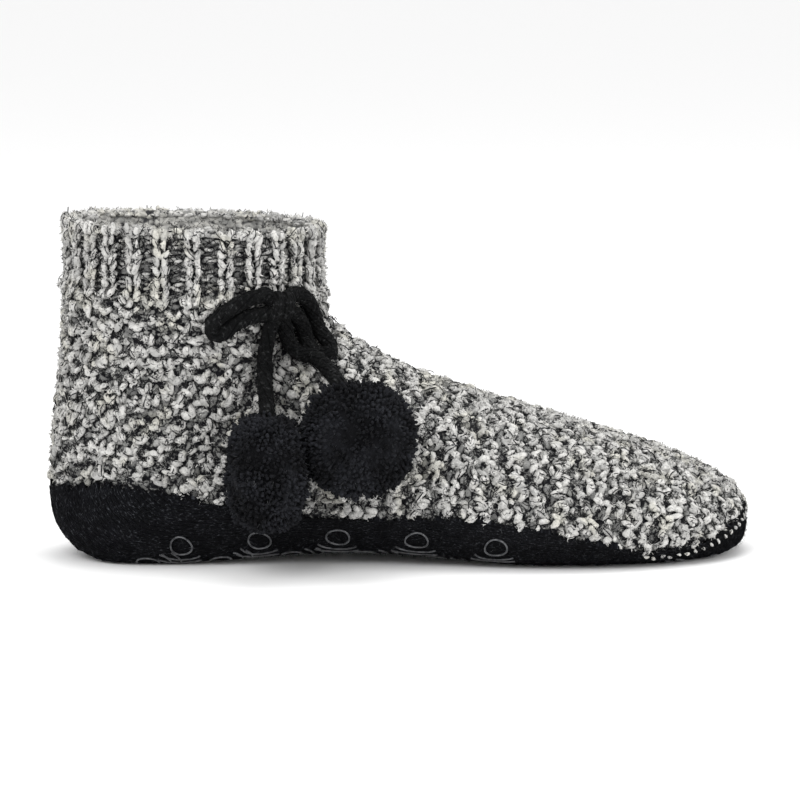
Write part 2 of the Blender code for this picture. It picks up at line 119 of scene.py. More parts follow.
# where the black sole meets the marled upper: distance from the heel, height over the floor
JOIN_ROWS = [
    (-0.05, 0.285), (0.00, 0.295), (0.07, 0.325), (0.15, 0.305), (0.24, 0.250), (0.34, 0.205),
    (0.45, 0.190), (0.55, 0.195), (0.64, 0.180), (0.72, 0.135), (0.79, 0.085), (0.85, 0.060),
    (0.90, 0.062), (0.94, 0.090), (0.975, 0.140), (1.00, 0.190), (1.05, 0.230),
]


def smooth_through(places, values, at):
    places, values = np.asarray(places, float), np.asarray(values, float)
    gaps = np.diff(places)[:, None] if values.ndim > 1 else np.diff(places)
    slopes = np.diff(values, axis=0) / gaps
    before, after = slopes[:-1], slopes[1:]
    same_way = before * after > 0
    total = np.where(same_way, before + after, 1.0)
    tangents = np.zeros_like(values)
    tangents[1:-1] = np.where(same_way, 2 * before * after / total, 0.0)
    tangents[0], tangents[-1] = slopes[0], slopes[-1]
    at = np.clip(np.asarray(at, float), places[0], places[-1])
    i = np.clip(np.searchsorted(places, at, side="right") - 1, 0, len(places) - 2)
    width = places[i + 1] - places[i]
    t = (at - places[i]) / width
    if values.ndim > 1:
        width, t = width[:, None], t[:, None]
    start = values[i] * (1 + 2 * t) * (1 - t) ** 2 + tangents[i] * width * t * (1 - t) ** 2
    return start + values[i + 1] * t * t * (3 - 2 * t) - tangents[i + 1] * width * t * t * (1 - t)


class Last:
    """The skin of the sock: a place is metres along it from the toe, an angle of 0 is its top or front."""

    def __init__(self):
        rows = [[r[0] * LENGTH, r[1] * BEND_HEIGHT, r[2] * LENGTH, r[3] * BEND_HEIGHT,
                 r[4] * BALL_WIDTH / 2, r[5] * BALL_WIDTH, *r[6:], 0.0] for r in FOOT_ROWS]
        back = CUFF_BACK_X * LENGTH
        for height, slack, ribbed in CUFF_ROWS:
            swell, level = slack * CUFF_STEP, COLLAR_HEIGHT - CUFF_HEIGHT * (1 - height)
            top = [back + COLLAR_LENGTH + swell, level - COLLAR_SLOPE / 2]
            low = [back - swell, level + COLLAR_SLOPE / 2]
            rows.append([*top, *low, COLLAR_WIDTH / 2 + swell, 0.0, 0.0, 0.0, ROUNDNESS, ribbed])
        self.rows = np.array(rows)
        steps = np.diff(self.rows, axis=0)
        step = (np.hypot(steps[:, 0], steps[:, 1]) + np.hypot(steps[:, 2], steps[:, 3])) / 2
        self.places = np.concatenate([[0.0], np.cumsum(step)])
        self.shift = np.zeros(3)
        turns = np.arange(RING) * math.tau / RING
        points = self.point(np.repeat(self.places, RING), np.tile(turns, len(self.places)))
        low, high = points.min(axis=0), points.max(axis=0)
        self.shift = np.array([-LENGTH / 2, -(low[1] + high[1]) / 2, 0.0])

    def point(self, place, angle):
        row = smooth_through(self.places, self.rows, place)
        top_x, top_z, low_x, low_z, half, lean, widest, flat, boxy, ribbed = row.T
        upright, across = np.cos(angle), np.sin(angle)
        above = upright > 0
        power = 2 / np.where(above, ROUNDNESS, boxy)
        rise = np.abs(upright) ** power
        share = np.where(above, widest + (1 - widest) * rise, widest - (1 + widest) * (1 + flat) * rise)
        share = np.maximum(share, -1.0)
        rib = ribbed * RIB_DEPTH * 0.5 * np.cos(RIB_COUNT * angle)
        reach_x, reach_z = (top_x - low_x) / 2, (top_z - low_z) / 2
        reach = np.hypot(reach_x, reach_z)
        along = share * reach + rib * upright
        sideways = half * np.sign(across) * np.abs(across) ** power + lean + rib * across
        x = (top_x + low_x) / 2 + along * reach_x / reach
        z = (top_z + low_z) / 2 + along * reach_z / reach
        return np.stack([x, sideways, z], axis=-1) + self.shift

    def directions(self, place, angle):
        """Outward, round the foot, and along it towards the collar."""
        da, dp = 0.03, 0.0012
        around = self.point(place, angle + da) - self.point(place, angle - da)
        low, high = np.maximum(place - dp, 0), np.minimum(place + dp, self.places[-1])
        along = self.point(high, angle) - self.point(low, angle)
        out = np.cross(around, along)
        unit = lambda v: v / np.maximum(np.linalg.norm(v, axis=-1, keepdims=True), 1e-12)
        out, around = unit(out), unit(around)
        return out, around, unit(np.cross(out, around))


last = Last()
HEEL_X = -LENGTH / 2
CUFF_START = last.places[len(FOOT_ROWS)]
RIM = last.places[-1]
print("skin runs", round(RIM * 1000), "mm from toe to rim")


def on_sock(place, angle, lift=0.0):
    """Points on the skin or lifted off it, with their outward, round and along directions."""
    out, around, along = last.directions(place, angle)
    return last.point(place, angle) + out * np.reshape(lift, (-1, 1)), out, around, along


def join_height(x):
    rows = np.array(JOIN_ROWS)
    return smooth_through(rows[:, 0] * LENGTH, rows[:, 1] * BEND_HEIGHT, np.atleast_1d(x) - HEEL_X)


# %% [markdown]
# ## Finishes as expressions
# A shader is arithmetic on patterns, so it reads best when it is written as arithmetic. The small class
# below wraps a socket, and each operator adds a Math node. Every other kind of node comes from one
# method, which takes the node's type, its settings and the values or links of its inputs.

# %% A socket that can be added and multiplied
class Tone:
    def __init__(self, finish, socket):
        self.finish, self.socket = finish, socket

    def join(self, operation, *others):
        return self.finish.node("ShaderNodeMath", {"operation": operation}, [self, *others])

    def __add__(self, other): return self.join("ADD", other)
    def __mul__(self, other): return self.join("MULTIPLY", other)
    def __sub__(self, other): return self.join("SUBTRACT", other)
    def __rsub__(self, other): return (self * -1.0) + other
    __radd__, __rmul__ = __add__, __mul__

    def away(self): return self.join("ABSOLUTE")
    def part(self): return self.join("FRACT")

    def line(self, wide, thin):
        """1 where a noise passes its middle value, which makes long wandering lines."""
        return (self - 0.5).away().between(wide, thin)

    def between(self, low, high):
        """0 below low, 1 above high, smooth between them. With low over high it falls instead."""
        settings = {"interpolation_type": "SMOOTHSTEP", "clamp": True}
        if low < high:
            return self.finish.node("ShaderNodeMapRange", settings, [self, low, high, 0.0, 1.0])
        return self.finish.node("ShaderNodeMapRange", settings, [self, high, low, 1.0, 0.0])


class Finish:
    def __init__(self, name, roughness=0.9, sheen=0.0, coat=0.0, specular=0.5):
        self.material = bpy.data.materials.new(name)
        self.material.use_nodes = True
        self.tree = self.material.node_tree
        self.shader = self.tree.nodes["Principled BSDF"]
        self.shader.inputs["Roughness"].default_value = roughness
        self.shader.inputs["Sheen Weight"].default_value = sheen
        self.shader.inputs["Sheen Roughness"].default_value = 0.5
        self.shader.inputs["Coat Weight"].default_value = coat
        self.shader.inputs["Specular IOR Level"].default_value = specular

    def node(self, kind, settings=None, inputs=(), out=0):
        node = self.tree.nodes.new(kind)
        for key, value in (settings or {}).items():
            setattr(node, key, value)
        pairs = inputs.items() if isinstance(inputs, dict) else enumerate(inputs)
        for key, value in pairs:
            if isinstance(value, Tone):
                self.tree.links.new(value.socket, node.inputs[key])
            else:
                node.inputs[key].default_value = value
        return Tone(self, node.outputs[out])

    def place(self, scale=(1, 1, 1)):
        spot = self.node("ShaderNodeTexCoord", out="Object")
        return self.node("ShaderNodeMapping", {}, {"Vector": spot, "Scale": scale})

    def noise(self, where, scale, detail=3.0, rough=0.55):
        inputs = {"Vector": where, "Scale": scale, "Detail": detail, "Roughness": rough}
        return self.node("ShaderNodeTexNoise", {}, inputs)

    def mix(self, factor, one, other):
        settings = {"data_type": "RGBA"}
        colour = lambda c: c if isinstance(c, Tone) else (*c, 1.0)
        inputs = {0: factor, 6: colour(one), 7: colour(other)}
        return self.node("ShaderNodeMix", settings, inputs, out=2)

    def attribute(self, name):
        return self.node("ShaderNodeAttribute", {"attribute_name": name}, out="Fac")

    def use(self, socket, value):
        self.tree.links.new(value.socket, self.shader.inputs[socket])

    def bump(self, height, distance):
        self.use("Normal", self.node("ShaderNodeBump", {}, {"Height": height, "Distance": distance}))


# %% [markdown]
# ## Yarns
# The puffs are off-white with greyer ones among them, and a hair-thin black thread winds through them, so
# the finish draws it where a noise passes its middle value: that gives long wandering lines. Everything
# that isn't a puff is a dark tangle of the same thread with grey fluff in it.

# %% The marled yarn's finishes
RELIEF = 0.0014


def boucle_finish(name, clean, grey_and_shade):
    yarn = Finish(name, roughness=0.95, sheen=0.1, specular=0.2)
    spot = yarn.place()
    shade = yarn.attribute("shade")
    cloud = yarn.noise(spot, 380.0, 3.0)
    strand = yarn.noise(spot, 310.0, 2.0, 0.5)
    fluff = yarn.noise(spot, 1100.0, 3.0, 0.7)
    tint = yarn.noise(spot, 90.0, 1.0)
    thread = strand.line(0.030, 0.010) * cloud.between(0.40, 0.54)
    warm = tuple(part * share for part, share in zip(clean, (1.0, 0.98, 0.86)))
    cream = yarn.mix(tint.between(0.52, 0.66) * 0.5, clean, warm)
    # The darker colour is the yarn's own grey for random puffs and patches, and painted shade in the creases
    # below.
    tone = yarn.mix(shade.between(0.40, 1.0) * 0.5, cream, grey_and_shade)
    soiled = yarn.mix(cloud.between(0.52, 0.72) * 0.5, tone, grey_and_shade)
    # Painted shade: where the fine fluff noise is high, the darker colour stands in for shade in the creases
    # between fibres.
    crease_shaded = yarn.mix(fluff.between(0.55, 0.66) * 0.72, soiled, grey_and_shade)
    yarn.use("Base Color", yarn.mix(thread, crease_shaded, (0.02, 0.02, 0.022)))
    yarn.bump(fluff * 1.2 + cloud, RELIEF)
    return yarn.material


def tangle_finish():
    yarn = Finish("dark_thread_tangle", roughness=0.95, specular=0.1)
    spot = yarn.place()
    patch = yarn.noise(spot, 700.0, 4.0, 0.7)
    strand = yarn.noise(spot, 420.0, 2.0, 0.5)
    grey = yarn.mix(patch.between(0.46, 0.64), (0.010, 0.010, 0.012), (0.34, 0.34, 0.325))
    yarn.use("Base Color", yarn.mix(strand.line(0.04, 0.012), grey, (0.006, 0.006, 0.008)))
    yarn.bump(patch, RELIEF)
    return yarn.material


def lining_finish():
    """The inside of the knit: the same marl, flatter, with more of the thread showing."""
    yarn = Finish("marled_lining", roughness=0.95, sheen=0.15)
    spot = yarn.place((1.0, 1.0, 1.25))
    cell = yarn.node("ShaderNodeTexVoronoi", {"feature": "SMOOTH_F1"},
                     {"Vector": spot, "Scale": 380.0, "Smoothness": 0.5})
    strand = yarn.noise(spot, 420.0, 2.0, 0.5)
    patch = yarn.noise(spot, 260.0, 3.0)
    light = yarn.mix(patch.between(0.35, 0.65), (0.50, 0.49, 0.46), (0.24, 0.24, 0.23))
    puffs = yarn.mix(cell.between(0.56, 0.80), light, (0.030, 0.030, 0.033))
    yarn.use("Base Color", yarn.mix(strand.line(0.03, 0.012) * 0.9, puffs, (0.012, 0.012, 0.014)))
    yarn.bump(1.0 - cell, RELIEF)
    return yarn.material


def thread_finish():
    yarn = Finish("black_binder_thread", roughness=0.8, specular=0.15)
    yarn.shader.inputs["Base Color"].default_value = (0.014, 0.014, 0.015, 1.0)
    return yarn.material


boucle = boucle_finish("off_white_boucle", (0.725, 0.715, 0.69), (0.31, 0.31, 0.305))
# A darker copy of the boucle for sunken puffs: grey yarn, painted darker still as the shade of their sunken
# place.
shaded = boucle_finish("grey_boucle", (0.29, 0.29, 0.28), (0.035, 0.035, 0.037))
tangle, lining, binder = tangle_finish(), lining_finish(), thread_finish()

# %% [markdown]
# ## Black yarns and silicone
# The sole is a fine chenille knit whose wales run along the foot, so its bump follows the piece's own UV
# map, one unit for a stitch. The cord is a small tube of the same kind of knit. The pompoms' yarn has no
# pattern left once it is cut, only fibre. The grip rings are beads of clear silicone.

# %% Finishes of sole, cord, pompoms and grips
def chevron(finish, u, v):
    """Height of plain knit: two slanted legs to a stitch, with a furrow between one wale and the next."""
    side = (u.part() - 0.5).away() * 2.0
    leg = ((v + side * 0.55).part() - 0.5).away() * 2.0
    wale = side.between(1.0, 0.55) * side.between(-0.15, 0.35)
    return wale * (1.0 - leg * leg) * 0.8 + side.between(1.0, 0.7) * 0.4


def black_knit_finish(name, colour, fleck, furrow, depth, grain, fibre_highlight):
    yarn = Finish(name, roughness=0.95, sheen=0.01, specular=0.05)
    uv = yarn.node("ShaderNodeUVMap", {"uv_map": "knit"})
    split = yarn.node("ShaderNodeSeparateXYZ", {}, [uv])
    u, v = Tone(yarn, split.socket.node.outputs[0]), Tone(yarn, split.socket.node.outputs[1])
    knit = chevron(yarn, u, v)
    fibre = yarn.noise(yarn.node("ShaderNodeMapping", {}, {"Vector": uv, "Scale": grain}), 1.0, 3.0, 0.7)
    cloud = yarn.noise(yarn.place(), 200.0, 3.0, 0.6)
    # Painted shade: the furrows between the wales take a darker black than the stitches.
    base = yarn.mix(knit.between(0.1, 0.7), furrow, colour)
    soft = yarn.mix(cloud.between(0.45, 0.65) * 0.6, base, fleck)
    # Painted highlights: fibres picked out by the fine noise, where the cloud lets them, take the light
    # colour.
    lit = fibre.between(0.54, 0.68) * cloud.between(0.34, 0.54)
    yarn.use("Base Color", yarn.mix(lit, soft, fibre_highlight))
    yarn.bump(knit + fibre, depth)
    return yarn.material


def cut_yarn_finish():
    yarn = Finish("black_cut_yarn", roughness=0.92, sheen=0.02, specular=0.10)
    shade = yarn.attribute("shade")
    spot = yarn.place()
    fibre = yarn.noise(spot, 1600.0, 3.0, 0.7)
    # Painted light and shade: large patches of the black yarn are made lighter or darker.
    clump_light_and_shade = yarn.noise(spot, 85.0, 2.0).between(0.38, 0.62)
    tuft = yarn.mix(shade * 0.4 + clump_light_and_shade * 0.6, (0.0026, 0.0027, 0.0035), (0.0165, 0.0175, 0.0215))
    # Painted highlights: light flecks on the fibres, only in the lighter patches.
    yarn.use("Base Color", yarn.mix(fibre.between(0.58, 0.72) * clump_light_and_shade, tuft, (0.045, 0.048, 0.056)))
    yarn.bump(fibre, 0.0006)
    return yarn.material


def fuzz_finish():
    """Loose fibres of the cord, which catch the light."""
    yarn = Finish("black_fibres", roughness=0.9, specular=0.1)
    shade = yarn.attribute("shade")
    dark = yarn.mix(shade.between(0.3, 1.0), (0.005, 0.005, 0.006), (0.026, 0.027, 0.030))
    yarn.use("Base Color", yarn.mix(shade.between(0.88, 1.0), dark, (0.11, 0.115, 0.12)))
    return yarn.material


def silicone_finish():
    gum = Finish("clear_silicone", roughness=0.30, coat=0.25)
    cloud = gum.noise(gum.place(), 700.0, 2.0)
    gum.use("Base Color", gum.mix(cloud.between(0.35, 0.65), (0.018, 0.019, 0.022), (0.085, 0.088, 0.094)))
    return gum.material


# The last colour of each is the painted highlight on its fibres.
sole_knit = black_knit_finish("black_sole_chenille", (0.0045, 0.0047, 0.0062), (0.0085, 0.009, 0.0115),
                              (0.0012, 0.0012, 0.0018), 0.0014, (3.0, 1.5, 1.0), (0.075, 0.079, 0.089))
cord_knit = black_knit_finish("black_knitted_cord", (0.0050, 0.0052, 0.0055), (0.0095, 0.0098, 0.0100),
                              (0.0020, 0.0021, 0.0023), 0.0009, (1.2, 2.2, 1.0), (0.044, 0.045, 0.046))
cut_yarn, silicone = cut_yarn_finish(), silicone_finish()
cord_fuzz = fuzz_finish()

# %% [markdown]
# ## Ground of the knit
# Puffs alone would let the light through, so under them lies a closed shell with the real thickness of the
# knit: a grid over the last's skin, thickened inwards. Its outside is the dark tangle seen between the
# puffs, and its inside is the lining seen down the collar. The sole is made in the same way from the part
# of the grid below the join, so its upper edge steps from stitch to stitch as a knitted edge does.

# %% A grid over the skin, kept on one side of the join
GROUND_WALL, SOLE_WALL = 0.0016, 0.0030
GROUND_OVERLAP, SOLE_OVERLAP = 0.0012, 0.0011  # how far each fabric runs past the join
SOLE_STITCH = (0.0017, 0.0019)


def link(obj):
    bpy.context.scene.collection.objects.link(obj)
    return obj


def mesh_from(bm, name, materials=()):
    mesh = bpy.data.meshes.new(name)
    bm.to_mesh(mesh)
    bm.free()
    for material in materials:
        mesh.materials.append(material)
    mesh.shade_smooth()
    return mesh


def object_from(bm, name, materials):
    return link(bpy.data.objects.new(name, mesh_from(bm, name, materials)))


def applied(obj):
    """The piece as its modifiers leave it, with the modifiers gone."""
    depsgraph = bpy.context.evaluated_depsgraph_get()
    mesh = bpy.data.meshes.new_from_object(obj.evaluated_get(depsgraph))
    name = obj.name
    bpy.data.objects.remove(obj)
    mesh.name = name
    return link(bpy.data.objects.new(name, mesh))


def triangles(obj):
    return sum(len(f.vertices) - 2 for f in obj.data.polygons)


def skin_grid(name, step, around, lift, keep, materials):
    """Faces over the skin, lifted off it, wherever keep takes the middle of a face."""
    places = np.linspace(0.0, RIM, round(RIM / step))
    angles = np.arange(around) * math.tau / around
    grid = [part.ravel() for part in np.meshgrid(places, angles, indexing="ij")]
    points = on_sock(*grid, lift(*grid))[0].reshape(len(places), around, 3)
    bm = bmesh.new()
    uv = bm.loops.layers.uv.new("knit")
    verts = [[bm.verts.new(p) for p in ring] for ring in points]
    toe_point = points[0].mean(axis=0)
    toe = bm.verts.new(Vector(toe_point))
    girth = 2 * BALL_WIDTH + 0.08  # about the longest way round the foot
    for i in range(len(places) - 1):
        for j in range(around):
            k = (j + 1) % around
            corners = [(i, j), (i, k), (i + 1, k), (i + 1, j)]
            if not keep(sum(points[a, b] for a, b in corners) / 4):
                continue
            face = bm.faces.new([verts[a][b] for a, b in corners])
            for loop, (a, b) in zip(face.loops, corners):
                turn = b if b or j < around - 1 else around
                loop[uv].uv = (turn / around * girth / SOLE_STITCH[0], places[a] / SOLE_STITCH[1])
    if keep(toe_point):
        for j in range(around):
            bm.faces.new([toe, verts[0][(j + 1) % around], verts[0][j]])
    bmesh.ops.delete(bm, geom=[v for v in bm.verts if not v.link_faces], context="VERTS")
    bm.normal_update()
    bmesh.ops.recalc_face_normals(bm, faces=bm.faces)
    return object_from(bm, name, materials)


def above_join(point):
    return point[2] > join_height(point[0])[0] - GROUND_OVERLAP


def below_join(point):
    return point[2] < join_height(point[0])[0] + SOLE_OVERLAP


def thickened(obj, wall, inner_slot=0):
    shell = obj.modifiers.new("wall", "SOLIDIFY")
    shell.thickness, shell.offset = wall, -1.0
    shell.material_offset = shell.material_offset_rim = inner_slot
    return applied(obj)


ground = skin_grid("knit_ground", 0.0024, 112, lambda *grid: -GROUND_WALL, above_join, [tangle, lining])
ground = thickened(ground, GROUND_WALL, 1)
print("knit ground:", triangles(ground), "triangles")


# %% The sole's fabric, a little clear of the floor where the grips stand
FLOOR_GAP, LOW_BAND = 0.0007, 0.004
SOLE_WALES, WALE_RELIEF, TUFT_SINK, TUFT_RELIEF = 150, 0.0002, 0.0001, 0.00014


def off_floor(place, angle):
    return -FLOOR_GAP * np.clip(1 - last.point(place, angle)[:, 2] / LOW_BAND, 0, 1)


def with_wales(place, angle):
    tufts = np.random.default_rng(3).normal(-TUFT_SINK, TUFT_RELIEF, place.shape)
    return off_floor(place, angle) + WALE_RELIEF * np.cos(angle * SOLE_WALES) + tufts


plain_sole = skin_grid("plain_sole", 0.0022, 120, off_floor, below_join, [sole_knit])
bm = bmesh.new()
bm.from_mesh(plain_sole.data)
sole_tree = BVHTree.FromBMesh(bm)
bm.free()
bpy.data.objects.remove(plain_sole)
sole = thickened(skin_grid("sole_fabric", 0.0017, 300, with_wales, below_join, [sole_knit]), SOLE_WALL)
print("sole fabric:", triangles(sole), "triangles")

# %% [markdown]
# ## A tree that sets stitches
# Thousands of stitches, threads, fibres and cut ends all need the same thing: a small shape, stood on a
# point, turned to face outwards and to lean along the yarn. One Geometry Nodes tree does that. Each point
# carries where it faces, where it runs and how large it is. The tree picks one of a few shapes, gives it
# a shade, and makes the copies real, because only real meshes can be handed on.

# %% The tree and the helper that runs it
def point_cloud(name, points, facing, along, sizes):
    mesh = bpy.data.meshes.new(name)
    mesh.from_pydata([tuple(p) for p in points], [], [])
    for label, values in (("facing", facing), ("along", along), ("swell", sizes)):
        layer = mesh.attributes.new(label, "FLOAT_VECTOR", "POINT")
        layer.data.foreach_set("vector", np.asarray(values, np.float32).ravel())
    return link(bpy.data.objects.new(name, mesh))


def new_tree(name, inputs):
    """A tree with named inputs, and the function that adds a node with its settings and inputs."""
    tree = bpy.data.node_groups.new(name, "GeometryNodeTree")
    for label, kind in inputs.items():
        tree.interface.new_socket(label, in_out="INPUT", socket_type="NodeSocket" + kind)
    tree.interface.new_socket("Geometry", in_out="OUTPUT", socket_type="NodeSocketGeometry")

    def node(kind, settings=None, inputs=None):
        made = tree.nodes.new(kind)
        for key, value in (settings or {}).items():
            setattr(made, key, value)
        for key, value in (inputs or {}).items():
            source = value.outputs[0] if isinstance(value, bpy.types.Node) else value
            if isinstance(source, bpy.types.NodeSocket):
                tree.links.new(source, made.inputs[key])
            else:
                made.inputs[key].default_value = source
        return made

    return tree, node


def end_tree(node, geometry, material):
    real = node("GeometryNodeRealizeInstances", {}, {"Geometry": geometry})
    dressed = node("GeometryNodeSetMaterial", {}, {"Geometry": real, "Material": material})
    node("NodeGroupOutput", {}, {"Geometry": dressed})


def made_by(tree, obj, values):
    """What the tree makes of the object, as a plain mesh, with modifier and tree gone."""
    setting = obj.modifiers.new("setting", "NODES")
    setting.node_group = tree
    for item in tree.interface.items_tree:
        if item.in_out == "INPUT" and item.name in values:
            setting[item.identifier] = values[item.name]
    piece = applied(obj)
    piece.data.shade_smooth()
    bpy.data.node_groups.remove(tree)
    return piece


def setting_tree(name, shapes, material):
    tree, node = new_tree(name, {"Places": "Geometry", "Size": "Float", "Seed": "Int"})

    def reading(label):
        return node("GeometryNodeInputNamedAttribute", {"data_type": "FLOAT_VECTOR"}, {"Name": label})

    given = node("NodeGroupInput").outputs
    outward = node("FunctionNodeAlignRotationToVector", {"axis": "Z"}, {"Vector": reading("facing")})
    turned = node("FunctionNodeAlignRotationToVector", {"axis": "X", "pivot_axis": "Z"},
                  {"Rotation": outward, "Vector": reading("along")})
    picked = node("FunctionNodeRandomValue", {"data_type": "INT"},
                  {4: 0, 5: len(shapes.objects) - 1, "Seed": given["Seed"]})
    size = node("ShaderNodeVectorMath", {"operation": "SCALE"}, {0: reading("swell"), "Scale": given["Size"]})
    library = node("GeometryNodeCollectionInfo", {}, {"Collection": shapes, "Separate Children": True,
                                                      "Reset Children": True})
    copies = node("GeometryNodeInstanceOnPoints", {}, {
        "Points": given["Places"], "Instance": library, "Pick Instance": True,
        "Instance Index": picked.outputs[2], "Rotation": turned, "Scale": size})
    shade = node("FunctionNodeRandomValue", {"data_type": "FLOAT"}, {"Seed": given["Seed"]})
    shaded = node("GeometryNodeStoreNamedAttribute", {"data_type": "FLOAT", "domain": "INSTANCE"}, {
        "Geometry": copies, "Name": "shade", "Value": shade.outputs[1]})
    end_tree(node, shaded, material)
    return tree


def set_in_place(name, points, facing, along, sizes, shapes, material, size, seed):
    """One piece: the shapes set on the points by the tree above, made real."""
    cloud = point_cloud(name, points, facing, along, sizes)
    piece = made_by(setting_tree(name + "_tree", shapes, material), cloud, {"Size": size, "Seed": seed})
    print(f"{name}: {len(points)} set, {triangles(piece)} triangles")
    return piece


libraries = []


def shape_library(name, maker, count, *settings):
    """A few different shapes of one kind, for the tree to pick from."""
    shapes = bpy.data.collections.new(name)
    for seed in range(count):
        shapes.objects.link(bpy.data.objects.new(f"{name}_{seed}", maker(seed, *settings)))
    libraries.append(shapes)
    return shapes


# %% [markdown]
# ## Puffs, threads and fibres
# Each stitch of the marled knit is a fat, uneven bean of fluff, about 4 mm long. It could be sculpted, but
# a ball pulled long and pushed about by a few random bumps does as well, and a handful of different ones
# is enough once each is turned and scaled on its own. The thread is a thin bent tube, and a fibre is a
# bent blade of three triangles, because nothing more of it can be seen.

# %% Small shapes that are set in thousands
BEAN_WIDTH, BEAN_HEIGHT, BEAN_BUMPS, BEAN_RAGGED = 0.62, 0.55, 0.42, 0.20
THREAD_RADIUS, THREAD_SIDES = 0.055, 3


def bean(seed):
    rng = random.Random(seed)
    bm = bmesh.new()
    bmesh.ops.create_uvsphere(bm, u_segments=7, v_segments=6, radius=0.5)
    # its faces come in a chance order, so they are sorted by the numbers of their corners
    bm.verts.index_update()
    bm.faces.sort(key=lambda face: sum(v.index * 64 ** k for k, v in enumerate(face.verts)))
    pushes = [(Vector([rng.uniform(-1, 1) for _ in range(3)]).normalized(), rng.uniform(-1, 1))
              for _ in range(8)]
    bend = rng.uniform(-0.22, 0.22)
    for vert in bm.verts:
        way = vert.co.normalized()
        push = 1 + BEAN_BUMPS * sum(amount * max(0.0, way.dot(axis)) ** 3 for axis, amount in pushes)
        push += rng.uniform(-BEAN_RAGGED, BEAN_RAGGED)
        x, y, z = vert.co.z * push, vert.co.y * push * BEAN_WIDTH, vert.co.x * push * BEAN_HEIGHT
        vert.co = (x, y + bend * (x * x * 2 - 0.2), z - 0.25 * x * x)
    bmesh.ops.recalc_face_normals(bm, faces=bm.faces)
    return mesh_from(bm, "bean")


def bridged(bm, rings):
    """Faces from each ring of corners to the next, with the numbers of ring and corner."""
    faces = []
    for k, (near, far) in enumerate(zip(rings, rings[1:])):
        for s in range(len(near)):
            t = (s + 1) % len(near)
            faces.append((bm.faces.new((near[s], near[t], far[t], far[s])), k, s))
    return faces


def bent_thread(seed, hump, curl_size, steps=4):
    """A hair-thin thread, one unit long: humped to climb over a puff, or curled to lie in a gap."""
    rng = random.Random(seed)
    curl, swing = rng.uniform(-1, 1) * curl_size, rng.uniform(-1, 1) * curl_size
    turns = [s * math.tau / THREAD_SIDES for s in range(THREAD_SIDES)]
    section = [Vector((0, math.cos(a), math.sin(a))) * THREAD_RADIUS for a in turns]
    rings = []
    bm = bmesh.new()
    for k in range(steps + 1):
        t = k / steps * 2 - 1
        centre = Vector((t * 0.55 - curl * t * 0.2, curl * t * t + swing * t ** 3, hump * (1 - 1.1 * t * t)))
        rings.append([bm.verts.new(centre + corner) for corner in section])
    bridged(bm, rings)
    bm.faces.new(rings[0])
    bm.faces.new(list(reversed(rings[-1])))
    bmesh.ops.recalc_face_normals(bm, faces=bm.faces)
    return mesh_from(bm, "thread")


def blade(seed, width=0.05):
    rng = random.Random(seed)
    bend, side = rng.uniform(0.1, 0.6), rng.uniform(-0.3, 0.3)
    bm = bmesh.new()
    foot = [bm.verts.new((0, s * width / 2, 0)) for s in (-1, 1)]
    knee = [bm.verts.new((bend * 0.3, side * 0.3 + s * width * 0.4, 0.55)) for s in (-1, 1)]
    bm.faces.new((foot[0], foot[1], knee[1], knee[0]))
    bm.faces.new((knee[0], knee[1], bm.verts.new((bend, side, 0.95))))
    return mesh_from(bm, "blade")


beans = shape_library("beans", bean, 8)
crossers = shape_library("crossers", bent_thread, 6, 0.225, 0.12)
curls = shape_library("curls", bent_thread, 6, 0.16, 0.45, 3)
blades = shape_library("blades", blade, 8)
tufts = shape_library("tufts", blade, 8, 0.34)

# %% [markdown]
# ## Stitches of the body
# In moss stitch a knit stitch, a V of two puffs, has purls on all four sides, and a purl is a small sunken
# bump in a dark knot of thread. The stitches stand in wales that run from the cuff over the ankle to the
# toe, one every 4 mm. Round the heel the wales grow longer than over the instep, so each wale is counted
# on its own, and a stitch becomes a V or a purl by what its neighbours already are.

# %% Places of the body's stitches
WALES = 62
COURSE = 0.0043
SPARE_COUNT, SPARE_ROW = 9000, 999
LEAST_GAP, SPARE_GAP, NEIGHBOUR_REACH = 0.0030, 0.0034, 0.0050
STRAYS = 0.14  # share of the stitches that break the pattern
rng = np.random.default_rng(7)


def run_along(points):
    """How far along their line the points lie."""
    return np.concatenate([[0], np.cumsum(np.linalg.norm(np.diff(points, axis=0), axis=1))])


def wale_angles():
    """For every place along the skin, the angles that share its girth evenly between the wales."""
    fine = np.linspace(0, math.tau, 181)
    steps = np.linspace(0.0005, CUFF_START, 220)
    table = []
    for place in steps:
        run = run_along(last.point(np.full(len(fine), place), fine))
        table.append(np.interp(np.arange(WALES) / WALES * run[-1], run, fine))
    return steps, np.array(table)


def candidates():
    """Stitches down every wale from the cuff, then spare places that can fill what is left bare."""
    steps, table = wale_angles()
    count = np.arange(len(steps))
    found = []
    for wale in range(WALES):
        run = run_along(last.point(steps, table[:, wale])[::-1])
        for n in range(int(run[-1] / COURSE) + 1):
            at = np.interp((n + 0.35) * COURSE, run, count[::-1])
            place = np.interp(at, count, steps)
            angle = np.interp(at, count, np.unwrap(table[:, wale]))
            found.append((n, place, angle, (n + wale) % 2))
    found.sort(key=lambda row: row[0])
    spare = zip(rng.uniform(0.001, CUFF_START, SPARE_COUNT), rng.uniform(0, math.tau, SPARE_COUNT))
    return np.array(found + [(SPARE_ROW, place, angle, 1) for place, angle in spare])


